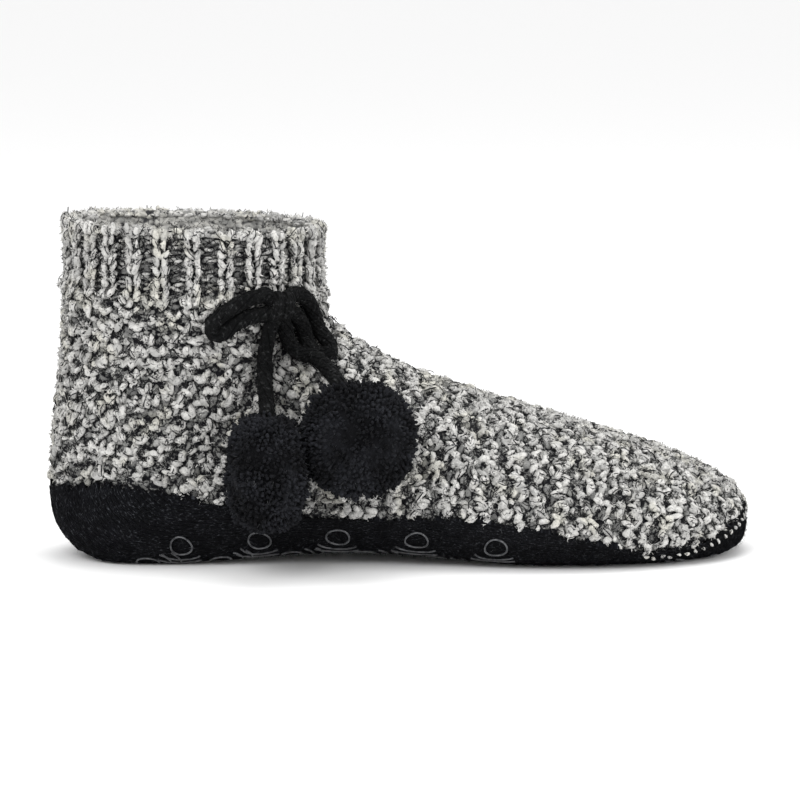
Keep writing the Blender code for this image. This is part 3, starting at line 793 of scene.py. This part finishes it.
def settle(rows):
    """Keep what has room. A kept stitch is the other kind than most of its close neighbours."""
    points = last.point(rows[:, 1], rows[:, 2])
    room = points[:, 2] > join_height(points[:, 0]) + rng.uniform(0.0012, 0.0026, len(points))
    cells, kept, kinds = {}, [], {}
    for n in np.nonzero(room)[0]:
        key = tuple(np.floor(points[n] / NEIGHBOUR_REACH).astype(int))
        close = [m for dx in (-1, 0, 1) for dy in (-1, 0, 1) for dz in (-1, 0, 1)
                 for m in cells.get((key[0] + dx, key[1] + dy, key[2] + dz), ())]
        gaps = np.linalg.norm(points[close] - points[n], axis=1) if close else np.array([])
        if len(gaps) and gaps.min() < (LEAST_GAP if rows[n, 0] < SPARE_ROW else SPARE_GAP):
            continue
        votes = sum(1 if kinds[m] else -1 for m, gap in zip(close, gaps) if gap < NEIGHBOUR_REACH)
        kinds[n] = rows[n, 3] if votes == 0 else float(votes < 0)
        if rng.random() < STRAYS:
            kinds[n] = 1.0 - kinds[n]
        cells.setdefault(key, []).append(n)
        kept.append(n)
    kept = np.array(kept)
    return rows[kept, 1], rows[kept, 2], np.array([kinds[n] for n in kept]) > 0.5


def scatter(count, amount):
    return rng.normal(0, amount, count)


def jitter(count, amount, middle=0.0):
    return rng.normal(middle, amount, (count, 3))


def leaned(around, along, lean):
    return around * np.cos(lean)[:, None] + along * np.sin(lean)[:, None]


def moved(points, *steps):
    """The points, each moved some way along its own directions."""
    for direction, amount in steps:
        points = points + direction * np.reshape(amount, (-1, 1))
    return points


def chosen(mask, arrays):
    return [array[mask] for array in arrays]


def strung(sets):
    return [np.concatenate(parts) for parts in zip(*sets)]


places, angles, purl = settle(candidates())
stitches = on_sock(places, angles)
print("body stitches:", len(places), "of them purls:", int(purl.sum()))

# %% Knit stitches: two puffs to a V, in two pieces
PUFF = 0.0041
SINK = -0.0008
marled = []


def add_yarn(*facts):
    marled.append(set_in_place(*facts))


def v_legs(points, out, around, along, spread=0.00115, slant=0.66, loose=0.32):
    """Both legs of each V: their points, facing, runs, sizes and the knit's outward direction."""
    sets, n = [], len(points)
    for side in (-1, 1):
        shift = around * (side * spread + scatter(n, 0.00022))[:, None] + along * scatter(n, 0.0003)[:, None]
        depth = out * (SINK + scatter(n, 0.0003))[:, None]
        lean = math.pi / 2 - side * slant + scatter(n, loose)
        sets.append((points + shift + depth, out + jitter(n, 0.15) + around * side * 0.2,
                     leaned(around, along, lean), jitter(n, 0.10, 1.0), out))
    return strung(sets)


on_foot = places < last.places[10]
leg_sets = []
for name, mask, seed in (("puffs_foot", ~purl & on_foot, 11), ("puffs_ankle", ~purl & ~on_foot, 12)):
    leg_sets.append(v_legs(*chosen(mask, stitches)))
    add_yarn(name, *leg_sets[-1][:4], beans, boucle, PUFF, seed)

# %% Purls: a small grey bump, low in the knit and painted darker as shade, and sometimes a light one beside it
purls = chosen(purl, stitches)
points, out, around, along = purls
n = len(points)
low_points = moved(points, (out, -0.0016 + scatter(n, 0.0002)), (along, scatter(n, 0.0007)))
low_sizes = jitter(n, 0.11, 0.86)
# The purl bumps take the darker copy, painted shade of their sunken place.
add_yarn("purl_bumps", low_points, out + jitter(n, 0.2), leaned(around, along, scatter(n, 0.5)), low_sizes,
         beans, shaded, PUFF, 14)
points, light_out, around, along = chosen(rng.random(n) < 0.80, purls)
n = len(points)
beside = np.where(rng.random(n) < 0.5, 1, -1) * 0.0014
light_points = moved(points, (along, beside), (around, scatter(n, 0.0005)), (light_out, -0.0012))
light_runs = leaned(around, along, scatter(n, 0.6))
add_yarn("purl_flecks", light_points, light_out + jitter(n, 0.2), light_runs, jitter(n, 0.14, 0.80),
         beans, boucle, PUFF, 15)

# %% Thread: along the puffs' flanks, and curled up in the gaps
CURL = 0.0030
leg_points, leg_facing, leg_runs, _, leg_out = strung(leg_sets)
n = len(leg_points)
beside = np.where(rng.random(n) < 0.5, 1, -1) * rng.uniform(0.0002, 0.0012, n)
across = np.cross(leg_out, leg_runs)
flank = across * beside[:, None] - leg_out * (beside ** 2 * 480)[:, None]
thread_runs = moved(leg_runs, (across, scatter(n, 0.35)))
kept = rng.random(n) < 0.95
threads = (leg_points + flank, leg_facing, thread_runs, jitter(n, 0.12, 1.0))
add_yarn("binder_on_puffs", *chosen(kept, threads), crossers, binder, PUFF, 21)
points, out, around, along = [np.repeat(array, 3, axis=0) for array in purls]
n = len(points)
gap_points = moved(points, (out, rng.uniform(-0.0018, -0.0007, n))) + jitter(n, 0.0005)
gap_runs = leaned(around, along, rng.uniform(0, math.pi, n))
add_yarn("binder_in_gaps", gap_points, out + jitter(n, 0.2), gap_runs, jitter(n, 0.2, 1.0),
         curls, binder, CURL, 22)

# %% [markdown]
# ## Cuff
# The cuff is a rib: a raised column of knit stitches, each a pair of leaning puffs like a V, then a
# sunken stretch of purl bumps, darker because the light misses it. The ribs follow those of the packed
# model. At the rim the yarn is cast off in a rope of puffs lying along the edge.

# %% The rib's columns and the purls between them
RIB_STEP = 0.0031
# how far from the peak, how far up the column, what share of them is there
RIB_HOLLOWS = ((0.112, 0.0, 1.0), (0.112, 0.00155, 1.0), (-0.082, 0.0008, 0.5), (0.082, 0.0008, 0.5))
levels = np.arange(CUFF_START + 0.0008, RIM - 0.0006, RIB_STEP)
peaks = np.arange(RIB_COUNT) * math.tau / RIB_COUNT
levels, peaks = [part.ravel() for part in np.meshgrid(levels, peaks)]
n = len(levels)
columns = on_sock(levels + scatter(n, 0.0002), peaks + scatter(n, 0.004), 0.0008)
rib_legs = v_legs(*columns, spread=0.00150, slant=0.32, loose=0.17)
rib_points, rib_facing, rib_runs, rib_sizes, rib_out = rib_legs
add_yarn("puffs_cuff", rib_points, rib_facing, rib_runs, rib_sizes * (1.02, 0.87, 1.0),
         beans, boucle, PUFF, 31)

hollow = []
for shift, rise, share in RIB_HOLLOWS:
    for level, peak in zip(levels, peaks):
        if rng.random() < share:
            hollow.append((level + rise + rng.normal(0, 0.0002), peak + shift + rng.normal(0, 0.006)))
n = len(hollow)
points, out, around, along = on_sock(*np.array(hollow).T, -0.0011 + scatter(n, 0.0002))
light = rng.random(n) < 0.45
# The cuff's purls take the darker copy, painted shade of the rib's hollows; the flecks take the plain boucle.
for name, mask, finish, seed in (("cuff_purls", ~light, shaded, 32), ("cuff_flecks", light, boucle, 33)):
    runs = leaned(around, along, scatter(n, 0.22))
    bumps = (points, out + jitter(n, 0.15), runs, jitter(n, 0.08, 0.80) * (1.0, 0.66, 0.9))
    add_yarn(name, *chosen(mask, bumps), beans, finish, PUFF, seed)
add_yarn("binder_cuff_gaps", points + out * 0.0009 + jitter(n, 0.0006), out + jitter(n, 0.3),
         leaned(around, along, rng.uniform(0, math.pi, n)), jitter(n, 0.15, 1.0), curls, binder, CURL, 34)
n = len(rib_points)
thread_points = moved(rib_points, (np.cross(rib_out, rib_runs), scatter(n, 0.0009)))
add_yarn("binder_cuff_ribs", thread_points, rib_facing, rib_runs + jitter(n, 0.25), jitter(n, 0.1, 1.0),
         crossers, binder, 0.0036, 35)

# %% The cast-off edge, three rows of puffs over the rim
EDGE_COUNT = 84
edge_sets = []
for lift_mm, drop_mm, shift in ((-0.9, 0.5, 0.0), (-2.0, -0.1, 0.03), (-3.0, 0.8, 0.03)):
    turn = np.arange(EDGE_COUNT) * math.tau / EDGE_COUNT + scatter(EDGE_COUNT, 0.012) + shift
    edge_sets.append(on_sock(np.full(EDGE_COUNT, RIM - drop_mm / 1000), turn, lift_mm / 1000))
edge_points, edge_out, edge_around, _ = strung(edge_sets)
n = len(edge_points)
edge_points[:, 2] += scatter(n, 0.0004) - 0.0006
edge_facing = edge_out * 0.6 + (0, 0, 0.8)
edge_runs = edge_around + jitter(n, 0.35)
add_yarn("puffs_cast_off_edge", edge_points, edge_facing, edge_runs, jitter(n, 0.10, 0.92),
         beans, boucle, PUFF, 41)
add_yarn("binder_cast_off_edge", edge_points - (0, 0, 0.0010), edge_facing, edge_runs + jitter(n, 0.4),
         np.ones((n, 3)), crossers, binder, 0.0028, 42)

# %% Fluff standing off the puffs
FLUFF_COUNT = 24000
n = FLUFF_COUNT
edge_up = edge_facing / np.linalg.norm(edge_facing, axis=1, keepdims=True)
yarn_sets = ((leg_points, leg_out, leg_runs), (light_points, light_out, light_runs),
             (rib_points, rib_out, rib_runs), (edge_points, edge_up, edge_runs))
yarn_points, yarn_out, yarn_runs = strung(yarn_sets)
pick = rng.integers(0, len(yarn_points), n)
up, runs = yarn_out[pick], yarn_runs[pick]
across = np.cross(up, runs)
flank, end = rng.uniform(-1, 1, n)[:, None], rng.uniform(-1, 1, n)[:, None]
rise = np.sqrt(1 - flank ** 2) * (1 - 0.4 * end ** 2)
base = yarn_points[pick] + up * rise * 0.0008 + across * flank * 0.0011 + runs * end * 0.0017
facing = up * rise + across * flank * 0.9 + runs * end * 0.4 + jitter(n, 0.35)
add_yarn("fluff", base, facing, jitter(n, 1), rng.uniform(0.6, 1.3, (n, 3)), tufts, boucle, 0.0012, 43)

# %% [markdown]
# ## Cord, bow and pompoms
# The tie is a small knitted tube of black yarn, tied in a bow. Each loop is the cord doubled back, lying
# on the ankle, and each end runs down into its pompom. The cord's surface is a tube swept along the packed
# route, with the knit drawn into its radius. A pompom is a bunch of cut yarn, so it is a dark core with
# well over two thousand yarn ends set on it, most of them pointing nearly straight out.

# %% Cord sweeping
CORD = 0.0044
CORD_STITCH, CORD_WALES, CORD_TWIST, CORD_RELIEF = 0.0024, 6, 120.0, 0.00018
TUBE_SIDES, TUBE_STEP, TUBE_RADIUS, WRAP_RADIUS = 18, 0.0006, 0.00262, 0.0023
FIBRE, CORD_FIBRES, KNOT_FIBRES = 0.0010, 2400, 450
SOLE_FIBRE, SOLE_FIBRES, CLEAR_OF_FLOOR = 0.0014, 5500, 0.0028
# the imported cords' centre lines, in millimetres
CORD_ROUTES = {
    "bow_loop_back": [(-47.1, -36.3, 95.4), (-49.4, -37.1, 95.0), (-51.6, -37.9, 94.6), (-53.8, -38.6, 93.8),
                      (-56.0, -39.2, 92.8), (-58.1, -39.5, 91.6), (-60.1, -39.5, 90.3), (-62.1, -39.4, 88.8),
                      (-63.9, -39.3, 87.1), (-65.2, -39.1, 85.1), (-64.9, -38.8, 82.8), (-62.8, -38.4, 82.1),
                      (-60.6, -38.2, 83.3), (-58.7, -38.1, 84.8), (-56.8, -37.9, 86.2), (-54.6, -37.6, 87.3),
                      (-52.3, -37.3, 88.1), (-49.9, -36.8, 88.5), (-47.5, -36.4, 88.8)],
    "bow_loop_front": [(-37.5, -30.0, 95.2), (-35.4, -28.7, 94.5), (-33.6, -27.3, 93.5), (-32.5, -25.7, 91.9),
                       (-31.5, -24.1, 90.2), (-30.8, -22.5, 88.4), (-30.3, -20.8, 86.6), (-29.8, -19.4, 84.6),
                       (-29.1, -18.8, 82.3), (-27.7, -19.0, 80.2), (-26.2, -19.5, 78.3), (-25.0, -20.5, 76.3),
                       (-24.8, -22.1, 74.4), (-26.6, -23.4, 73.6), (-29.0, -24.1, 73.8), (-31.2, -24.1, 75.1),
                       (-32.6, -23.7, 77.1), (-33.3, -23.4, 79.4), (-33.9, -23.9, 81.8), (-34.5, -25.1, 83.9),
                       (-35.3, -26.7, 85.7), (-36.4, -28.4, 87.2), (-37.6, -30.2, 88.4)],
    "tie_end_back": [(-45.2, -33.9, 84.8), (-45.8, -33.6, 82.5), (-46.3, -33.3, 80.2), (-46.8, -33.0, 77.8),
                     (-47.2, -32.9, 75.4), (-47.5, -33.2, 73.0), (-47.5, -33.9, 70.7), (-47.5, -35.0, 68.6),
                     (-47.4, -36.7, 66.9), (-47.3, -38.5, 65.3), (-47.2, -40.2, 63.5), (-47.1, -41.8, 61.7),
                     (-47.0, -43.3, 59.8), (-46.9, -44.9, 58.0), (-46.8, -46.4, 56.1), (-46.9, -48.0, 53.0)],
    "tie_end_front": [(-40.7, -31.0, 84.4), (-40.3, -29.9, 82.2), (-39.7, -28.8, 80.1), (-38.8, -28.1, 77.9),
                      (-37.4, -27.9, 75.9), (-35.6, -28.7, 74.5), (-33.4, -29.5, 73.9), (-31.1, -30.4, 73.8),
                      (-29.4, -32.0, 73.1), (-28.2, -34.0, 72.2), (-27.1, -36.0, 71.3), (-26.1, -38.0, 70.3),
                      (-25.1, -40.1, 69.3), (-24.2, -42.1, 68.3), (-23.2, -44.2, 67.3), (-22.2, -46.2, 66.3),
                      (-20.8, -47.2, 63.5)],
}
KNOT_CENTRE = Vector((-0.0421, -0.0350, 0.0914))
KNOT_OUT = Vector((0.5065, -0.8621, 0.0)).normalized()
KNOT_SIDE = Vector((0, 0, 1)).cross(KNOT_OUT)


def fine_route(points):
    """Even points on a smooth curve through the given ones."""
    padded = [points[0] * 2 - points[1], *points, points[-1] * 2 - points[-2]]
    fine = []
    for a, b, c, d in zip(padded, padded[1:], padded[2:], padded[3:]):
        for t in (k / 8 for k in range(8)):
            fine.append(0.5 * (2 * b + (c - a) * t + (2 * a - 5 * b + 4 * c - d) * t * t
                               + (3 * b - a - 3 * c + d) * t ** 3))
    fine.append(points[-1])
    run = np.concatenate([[0], np.cumsum([(q - p).length for p, q in zip(fine, fine[1:])])])
    at = np.linspace(0, run[-1], max(2, round(run[-1] / TUBE_STEP)) + 1)
    return [Vector([np.interp(s, run, [p[i] for p in fine]) for i in range(3)]) for s in at], run[-1]


def swept(name, points, radius):
    """A knitted tube along the points, closed at both ends."""
    def knit_place(side, step):
        return side / TUBE_SIDES * CORD_WALES + step * TUBE_STEP * CORD_TWIST, step * TUBE_STEP / CORD_STITCH

    route, length = fine_route(points)
    bm = bmesh.new()
    uv = bm.loops.layers.uv.new("knit")
    up = Vector((0.3, -0.8, 0.5))
    nap = random.Random(name)
    rings = []
    for k, centre in enumerate(route):
        ahead = (route[min(k + 1, len(route) - 1)] - route[max(k - 1, 0)]).normalized()
        up = (up - ahead * up.dot(ahead)).normalized()
        side = ahead.cross(up)
        rings.append([])
        for s in range(TUBE_SIDES):
            u, v = knit_place(s, k)
            flank = abs(u % 1 - 0.5) * 2
            leg = abs((v + flank * 0.55) % 1 - 0.5) * 2
            rise = 0.5 * (1 - flank ** 2) + 1.5 * (1 - leg * leg) - 1.2 + nap.gauss(0, 0.45)
            turn = s / TUBE_SIDES * math.tau
            way = up * math.cos(turn) + side * math.sin(turn)
            rings[-1].append(bm.verts.new(centre + way * (radius + CORD_RELIEF * rise)))
    for face, k, s in bridged(bm, rings):
        for loop, corner in zip(face.loops, ((s, k), (s + 1, k), (s + 1, k + 1), (s, k + 1))):
            loop[uv].uv = knit_place(*corner)
    bm.faces.new(rings[0])
    bm.faces.new(list(reversed(rings[-1])))
    bm.normal_update()
    bmesh.ops.recalc_face_normals(bm, faces=bm.faces)
    return object_from(bm, name, [cord_knit]), length


def joined(name, pieces):
    """Several pieces as one mesh, in the first one's finish."""
    bm = bmesh.new()
    materials = list(pieces[0].data.materials)
    for piece in pieces:
        bm.from_mesh(piece.data)
        bpy.data.objects.remove(piece)
    return object_from(bm, name, materials)


def fuzz_on(name, hosts, count, length, seed):
    """Short fibres standing on vertices of a surface."""
    local, shape = np.random.default_rng(seed), (count, 3)
    spots = local.integers(0, len(hosts), count)
    base = np.array([hosts[int(i)].co for i in spots])
    facing = np.array([hosts[int(i)].normal for i in spots]) + local.normal(0, 0.6, shape)
    return set_in_place(name, base, facing, local.normal(0, 1, shape), local.uniform(0.6, 1.4, shape),
                        blades, cord_fuzz, length, seed)


sole_skin = [v for v in sole.data.vertices[:len(sole.data.vertices) // 2] if v.co.z > CLEAR_OF_FLOOR]
sole_fuzz = fuzz_on("sole_fuzz", sole_skin, SOLE_FIBRES, SOLE_FIBRE, 59)
cords, cord_paths, cord_lengths = {}, {}, {}
for name, table in CORD_ROUTES.items():
    points_on = [Vector(p) / 1000 for p in table]
    if name.startswith("bow"):
        points_on = [points_on[0].lerp(KNOT_CENTRE, 0.5), *points_on, points_on[-1].lerp(KNOT_CENTRE, 0.5)]
    else:
        points_on = [KNOT_CENTRE - Vector((0, 0, 0.002)), *points_on]
    tube, cord_lengths[name] = swept(name + "_knitted", points_on, TUBE_RADIUS)
    fuzz = fuzz_on(name + "_fuzz", tube.data.vertices, CORD_FIBRES, FIBRE, 60 + len(cords))
    cords[name], cord_paths[name] = joined(name + "_yarn", [tube, fuzz]), points_on
    print(name, "is", round(cord_lengths[name] * 1000, 1), "mm along")

# %% The knot: the cord wound twice over the crossing
WRAP_POINTS, WRAP_TURN = 14, 320
wraps = []
for k, (shift, tilt) in enumerate(((-0.0021, 0.16), (0.0021, 0.10))):
    arc = []
    for step in range(WRAP_POINTS):
        turn = math.radians(-WRAP_TURN / 2 + step * WRAP_TURN / (WRAP_POINTS - 1))
        arc.append(KNOT_CENTRE + KNOT_OUT * math.cos(turn) * 0.0021 + Vector((0, 0, math.sin(turn) * 0.0031))
                   + KNOT_SIDE * (shift + math.sin(turn) * tilt * 0.006))
    wraps.append(swept(f"knot_wrap_{k}", arc, WRAP_RADIUS)[0])
wraps += [fuzz_on(f"knot_fuzz_{k}", wraps[k].data.vertices, KNOT_FIBRES, FIBRE, 66 + k) for k in range(2)]
knot = joined("bow_knot_wound", wraps)
print("knot:", triangles(knot), "triangles")

# %% Pompoms
END_SIDES = 4
END_COUNT, POMPOM_FIBRES = 2700, 3200
END_LENGTH, END_DEPTH, CORE_SHARE = 0.0032, 0.0031, 0.93
GOLDEN_ANGLE = 2.399963


def yarn_end(seed):
    """A cut end of yarn, one unit tall: thin at its root, frayed wider at the cut."""
    rng = random.Random(seed)
    bm = bmesh.new()
    rings = []
    lean = Vector((rng.uniform(-0.15, 0.15), rng.uniform(-0.15, 0.15), 0))
    for level, size in ((0.0, 0.08), (0.6, 0.13), (0.88, 0.20), (1.0, 0.11)):
        turns = [(s + rng.uniform(-0.2, 0.2)) * math.tau / END_SIDES for s in range(END_SIDES)]
        rings.append([bm.verts.new(Vector((math.cos(a), math.sin(a), 0)) * size * rng.uniform(0.8, 1.2)
                                   + lean * level + Vector((0, 0, level + rng.uniform(-0.05, 0.05) * level)))
                      for a in turns])
    bridged(bm, rings)
    bm.faces.new(rings[-1])
    bmesh.ops.recalc_face_normals(bm, faces=bm.faces)
    return mesh_from(bm, "yarn_end")


yarn_ends = shape_library("yarn_ends", yarn_end, 8)
# centre, half sizes, how boxy the form is, seed
POMPOMS = {"pompom_back": ((-0.04701, -0.05147, 0.03651), (0.0131, 0.0164, 0.0193), 2.7, 71),
           "pompom_front": ((-0.01589, -0.04828, 0.04749), (0.0191, 0.0131, 0.0192), 2.3, 72)}


def rounded_box_point(unit, half, power):
    """A point on a form between a ball and a box, in the direction of unit."""
    scaled = np.abs(unit / half) ** power
    return unit / scaled.sum(axis=-1, keepdims=True) ** (1 / power)


def pompom(name, centre, half, power, seed):
    local = np.random.default_rng(seed)
    centre, half = np.array(centre), np.array(half)
    k = np.arange(END_COUNT) + 0.5
    height, turn = 1 - 2 * k / END_COUNT, k * GOLDEN_ANGLE
    flat = np.sqrt(1 - height ** 2)
    unit = np.stack([flat * np.cos(turn), flat * np.sin(turn), height], axis=-1) * half
    unit = unit / np.linalg.norm(unit, axis=1, keepdims=True)
    skin = rounded_box_point(unit, half, power)
    facing = np.sign(skin) * np.abs(skin / half) ** (power - 1) / half
    facing = facing / np.linalg.norm(facing, axis=1, keepdims=True)
    radial = facing * 0.6 + unit * 0.4 + local.normal(0, 0.20, unit.shape)
    waves = (np.sin(skin @ local.normal(0, 260, 3) + local.uniform(0, math.tau)) for _ in range(4))
    lumps = sum(waves) * 0.00028
    base = centre + skin - facing * (END_DEPTH + lumps + local.normal(0, 0.0006, END_COUNT))[:, None]
    ends = set_in_place(name + "_ends", base, radial, local.normal(0, 1, unit.shape),
                        local.normal(1.0, 0.16, unit.shape), yarn_ends, cut_yarn, END_LENGTH, seed)
    pick, shape = local.integers(0, END_COUNT, POMPOM_FIBRES), (POMPOM_FIBRES, 3)
    roots, ways = (base + facing * 0.002)[pick], radial[pick] + local.normal(0, 0.6, shape)
    fibres = set_in_place(name + "_fibres", roots, ways, local.normal(0, 1, shape),
                          local.uniform(0.7, 1.3, shape), blades, cord_fuzz, 0.0018, seed + 9)
    bm = bmesh.new()
    bmesh.ops.create_icosphere(bm, subdivisions=3, radius=1.0)
    for vert in bm.verts:
        way = np.array(vert.co) * half
        way = way / np.linalg.norm(way)
        vert.co = Vector(centre + rounded_box_point(way[None], half, power)[0] * CORE_SHARE)
    core = object_from(bm, name + "_core", [cut_yarn])
    print(name, "from", triangles(core) + triangles(ends) + triangles(fibres), "triangles")
    return core, [ends, fibres]


pompoms = {name: pompom(name, *facts) for name, facts in POMPOMS.items()}

# %% [markdown]
# ## Grips and toe stitches
# Clear silicone is printed on the sole in small motifs, a ring with two arcs beside it, in staggered rows,
# and one row climbs each side. A nozzle lays such a bead along a line, so each bead here is a line drawn
# on the sole's own surface and given a round section by a short tree. At the toe the last white yarn of
# the upper shows through the black as a row of flecks.

# %% Beads of silicone
def bead_tree(material):
    """Every line becomes a round bead, closed at its ends."""
    tree, node = new_tree("bead", {"Lines": "Geometry", "Thickness": "Float"})
    given = node("NodeGroupInput").outputs
    curve = node("GeometryNodeMeshToCurve", {}, {0: given["Lines"]})
    half = node("ShaderNodeMath", {"operation": "MULTIPLY"}, {0: given["Thickness"], 1: 0.5})
    section = node("GeometryNodeCurvePrimitiveCircle", {}, {"Resolution": 5, "Radius": half})
    solid = node("GeometryNodeCurveToMesh", {}, {"Curve": curve, "Profile Curve": section, "Fill Caps": True})
    end_tree(node, solid, material)
    return tree


BEAD = 0.0007
# how many motifs there are, where the first stands from the heel, and how far it is to the next
SIDE_ROW, UNDER_ROW = (5, 0.046, 0.027), (17, 0.022, 0.0125)
# radius, half of the turn it makes, points on it
MOTIF = ((0.0038, math.pi, 22), (0.0078, 1.0, 13), (0.0112, 0.75, 13))


def motif_lines(centre, normal, arcs_towards):
    """The ring and the two arcs, drawn on the sole's surface round a centre."""
    away = (arcs_towards - normal * arcs_towards.dot(normal)).normalized()
    side = normal.cross(away)
    lines = []
    for radius, half_turn, count in MOTIF:
        closed = half_turn == math.pi
        turns = np.linspace(-half_turn, half_turn, count, endpoint=not closed)
        line = []
        for turn in turns:
            wobble = 1 + 0.06 * math.sin(2 * turn + centre.x * 900)
            wobble = wobble + 0.03 * math.sin(3 * turn + centre.x * 2500)
            spot = centre + (away * math.cos(turn) + side * math.sin(turn)) * radius * wobble
            hit, hit_normal, _, gap = sole_tree.find_nearest(spot)
            if gap is not None and gap < 0.004:
                line.append(hit + hit_normal * BEAD * 0.28)
        if len(line) > 5:
            lines.append((line, closed and len(line) == count))
    return lines


def grips():
    """A motif up each side at five places, and staggered rows of them under the foot."""
    lines = []
    count, start, pitch = SIDE_ROW
    for step in range(count):
        x = HEEL_X + start + step * pitch
        for side in (-1, 1):
            bottom = sole_tree.ray_cast(Vector((x, side * 0.018, -0.05)), Vector((0, 0, 1)))[0]
            origin = Vector((x, side * 0.08, (bottom.z if bottom else 0.0) + 0.0068))
            hit, normal, _, _ = sole_tree.ray_cast(origin, Vector((0, -side, 0)))
            if hit is not None:
                lines += motif_lines(hit, normal, Vector((-0.1, -side * 0.3, -1.0)))
    count, start, pitch = UNDER_ROW
    for step in range(count):
        x = HEEL_X + start + step * pitch
        for y in (-0.0225, 0.0, 0.0225) if step % 2 else (-0.0115, 0.0115):
            hit, normal, _, _ = sole_tree.ray_cast(Vector((x, y, -0.05)), Vector((0, 0, 1)))
            if hit is not None and hit.z < 0.006:
                lines += motif_lines(hit, normal, Vector((1.0, 0.0, 0.0)))
    return lines


lines = grips()
line_mesh = bpy.data.meshes.new("grip_lines")
line_points, line_edges = [], []
for line, closed in lines:
    first = len(line_points)
    line_points += [tuple(p) for p in line]
    line_edges += [(first + k, first + k + 1) for k in range(len(line) - 1)]
    if closed:
        line_edges.append((first + len(line) - 1, first))
line_mesh.from_pydata(line_points, line_edges, [])
grip_beads = link(bpy.data.objects.new("grip_beads", line_mesh))
grip_beads = made_by(bead_tree(silicone), grip_beads, {"Thickness": BEAD})
print("grips:", len(lines), "lines,", triangles(grip_beads), "triangles, lowest",
      round(min(v.co.z for v in grip_beads.data.vertices) * 1000, 2), "mm")

# %% Flecks of white at the toe
FLECK_DROP, FLECK_PITCH, FLECK_BAND = 0.0013, 0.0032, 0.0005


def toe_flecks():
    """Places one pitch apart on a line round the toe, a little below the join."""
    along, turns = np.linspace(0.0003, last.places[9], 260), np.linspace(0, math.tau, 500, endpoint=False)
    grid = [part.ravel() for part in np.meshgrid(along, turns)]
    spots = last.point(*grid)
    near = np.abs(spots[:, 2] - (join_height(spots[:, 0]) - FLECK_DROP)) < FLECK_BAND
    near &= spots[:, 0] > HEEL_X + 0.206
    bearing = np.arctan2(spots[:, 1] - 0.002, spots[:, 0] - (HEEL_X + 0.19))
    picked, previous = [], None
    for n in np.nonzero(near)[0][np.argsort(bearing[near])]:
        if previous is None or np.linalg.norm(spots[n] - previous) >= FLECK_PITCH:
            picked.append(n)
            previous = spots[n]
    return chosen(picked, grid)


points, out, around, along = on_sock(*toe_flecks(), 0.0003)
n = len(points)
add_yarn("toe_flecks", points, out, leaned(around, along, rng.normal(0.8, 0.25, n)), jitter(n, 0.08, 0.58),
         beans, boucle, 0.0034, 81)

# %% [markdown]
# ## Floor, light and camera
# The sock is shown on a plain white floor in soft studio light, from the side and a little from above,
# through a long lens so that it keeps its proportions.

# %% Stage
def make_stage():
    mesh = bpy.data.meshes.new("floor")
    mesh.from_pydata([(-4, -4, 0), (4, -4, 0), (4, 4, 0), (-4, 4, 0)], [], [(0, 1, 2, 3)])
    paper = Finish("white_paper", roughness=0.9)
    paper.shader.inputs["Base Color"].default_value = (0.93, 0.93, 0.93, 1.0)
    mesh.materials.append(paper.material)
    link(bpy.data.objects.new("floor", mesh))
    world = bpy.data.worlds.new("studio")
    world.use_nodes = True
    background = world.node_tree.nodes["Background"].inputs
    background["Color"].default_value = (1.0, 1.0, 1.0, 1.0)
    background["Strength"].default_value = 1.0
    bpy.context.scene.world = world


# place, size and power of each light, all of them turned to one point
LIGHTS = {"key": ((-0.45, -0.9, 0.85), 0.7, 6.3), "fill": ((0.9, -0.8, 0.45), 0.7, 5.2),
          "top": ((0.1, 0.1, 1.1), 0.8, 5.0)}
LIGHT_AIM = (0.0, 0.0, 0.05)


def add_light(name, place, size, power):
    lamp = bpy.data.lights.new(name, "AREA")
    lamp.shape, lamp.size, lamp.energy = "DISK", size, power
    obj = link(bpy.data.objects.new(name, lamp))
    obj.location = place
    obj.rotation_euler = (Vector(LIGHT_AIM) - Vector(place)).to_track_quat("-Z", "Y").to_euler()


def add_camera(azimuth, elevation, aim, wide, distance):
    lens = bpy.data.cameras.new("camera")
    lens.sensor_width = 36.0
    lens.lens = 36.0 * distance / wide
    camera = link(bpy.data.objects.new("camera", lens))
    turn, rise = math.radians(azimuth), math.radians(elevation)
    way = Vector((math.sin(turn) * math.cos(rise), -math.cos(turn) * math.cos(rise), math.sin(rise)))
    camera.location = Vector(aim) + way * distance
    camera.rotation_euler = (-way).to_track_quat("-Z", "Y").to_euler()
    bpy.context.scene.camera = camera


make_stage()
for name, facts in LIGHTS.items():
    add_light(name, *facts)
add_camera(-2.0, 8.0, (0.0, 0.0, 0.054), 0.280, 1.6)
bpy.context.scene.view_settings.view_transform = "Standard"

# %% [markdown]
# ## Pieces on the sock's body
# Every piece rides on the sock's one body, and the imported parts that it stands for are hidden.

for piece in marled + [ground]:
    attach(piece, "root")
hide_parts("upper")
for piece in (sole, sole_fuzz, grip_beads):
    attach(piece, "root")
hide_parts("sole")
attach(knot, "root")
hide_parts("bow_knot")
for name, (core, extra) in pompoms.items():
    for piece in [core] + extra:
        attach(piece, "root")
    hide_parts(name)
for name, tube in cords.items():
    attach(tube, "root")
    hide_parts(name)
    path = [tuple(p) for p in cord_paths[name]]
    facts = {"exit": path[0], "length": cord_lengths[name], "diameter": CORD,
             "stiffness": "limp", "path": path}
    if name.startswith("tie"):
        core, extra = pompoms["pompom_" + name.split("_")[-1]]
        [core] + extra

for shapes in libraries:
    for obj in list(shapes.objects):
        bpy.data.objects.remove(obj)
    bpy.data.collections.remove(shapes)

meshes = [obj for obj in bpy.context.scene.objects if obj.type == "MESH" and obj.name != "floor"]
counts = sorted(((triangles(obj), obj.name) for obj in meshes), reverse=True)
print("triangles in all:", sum(count for count, _ in counts), "largest:", counts[:5])
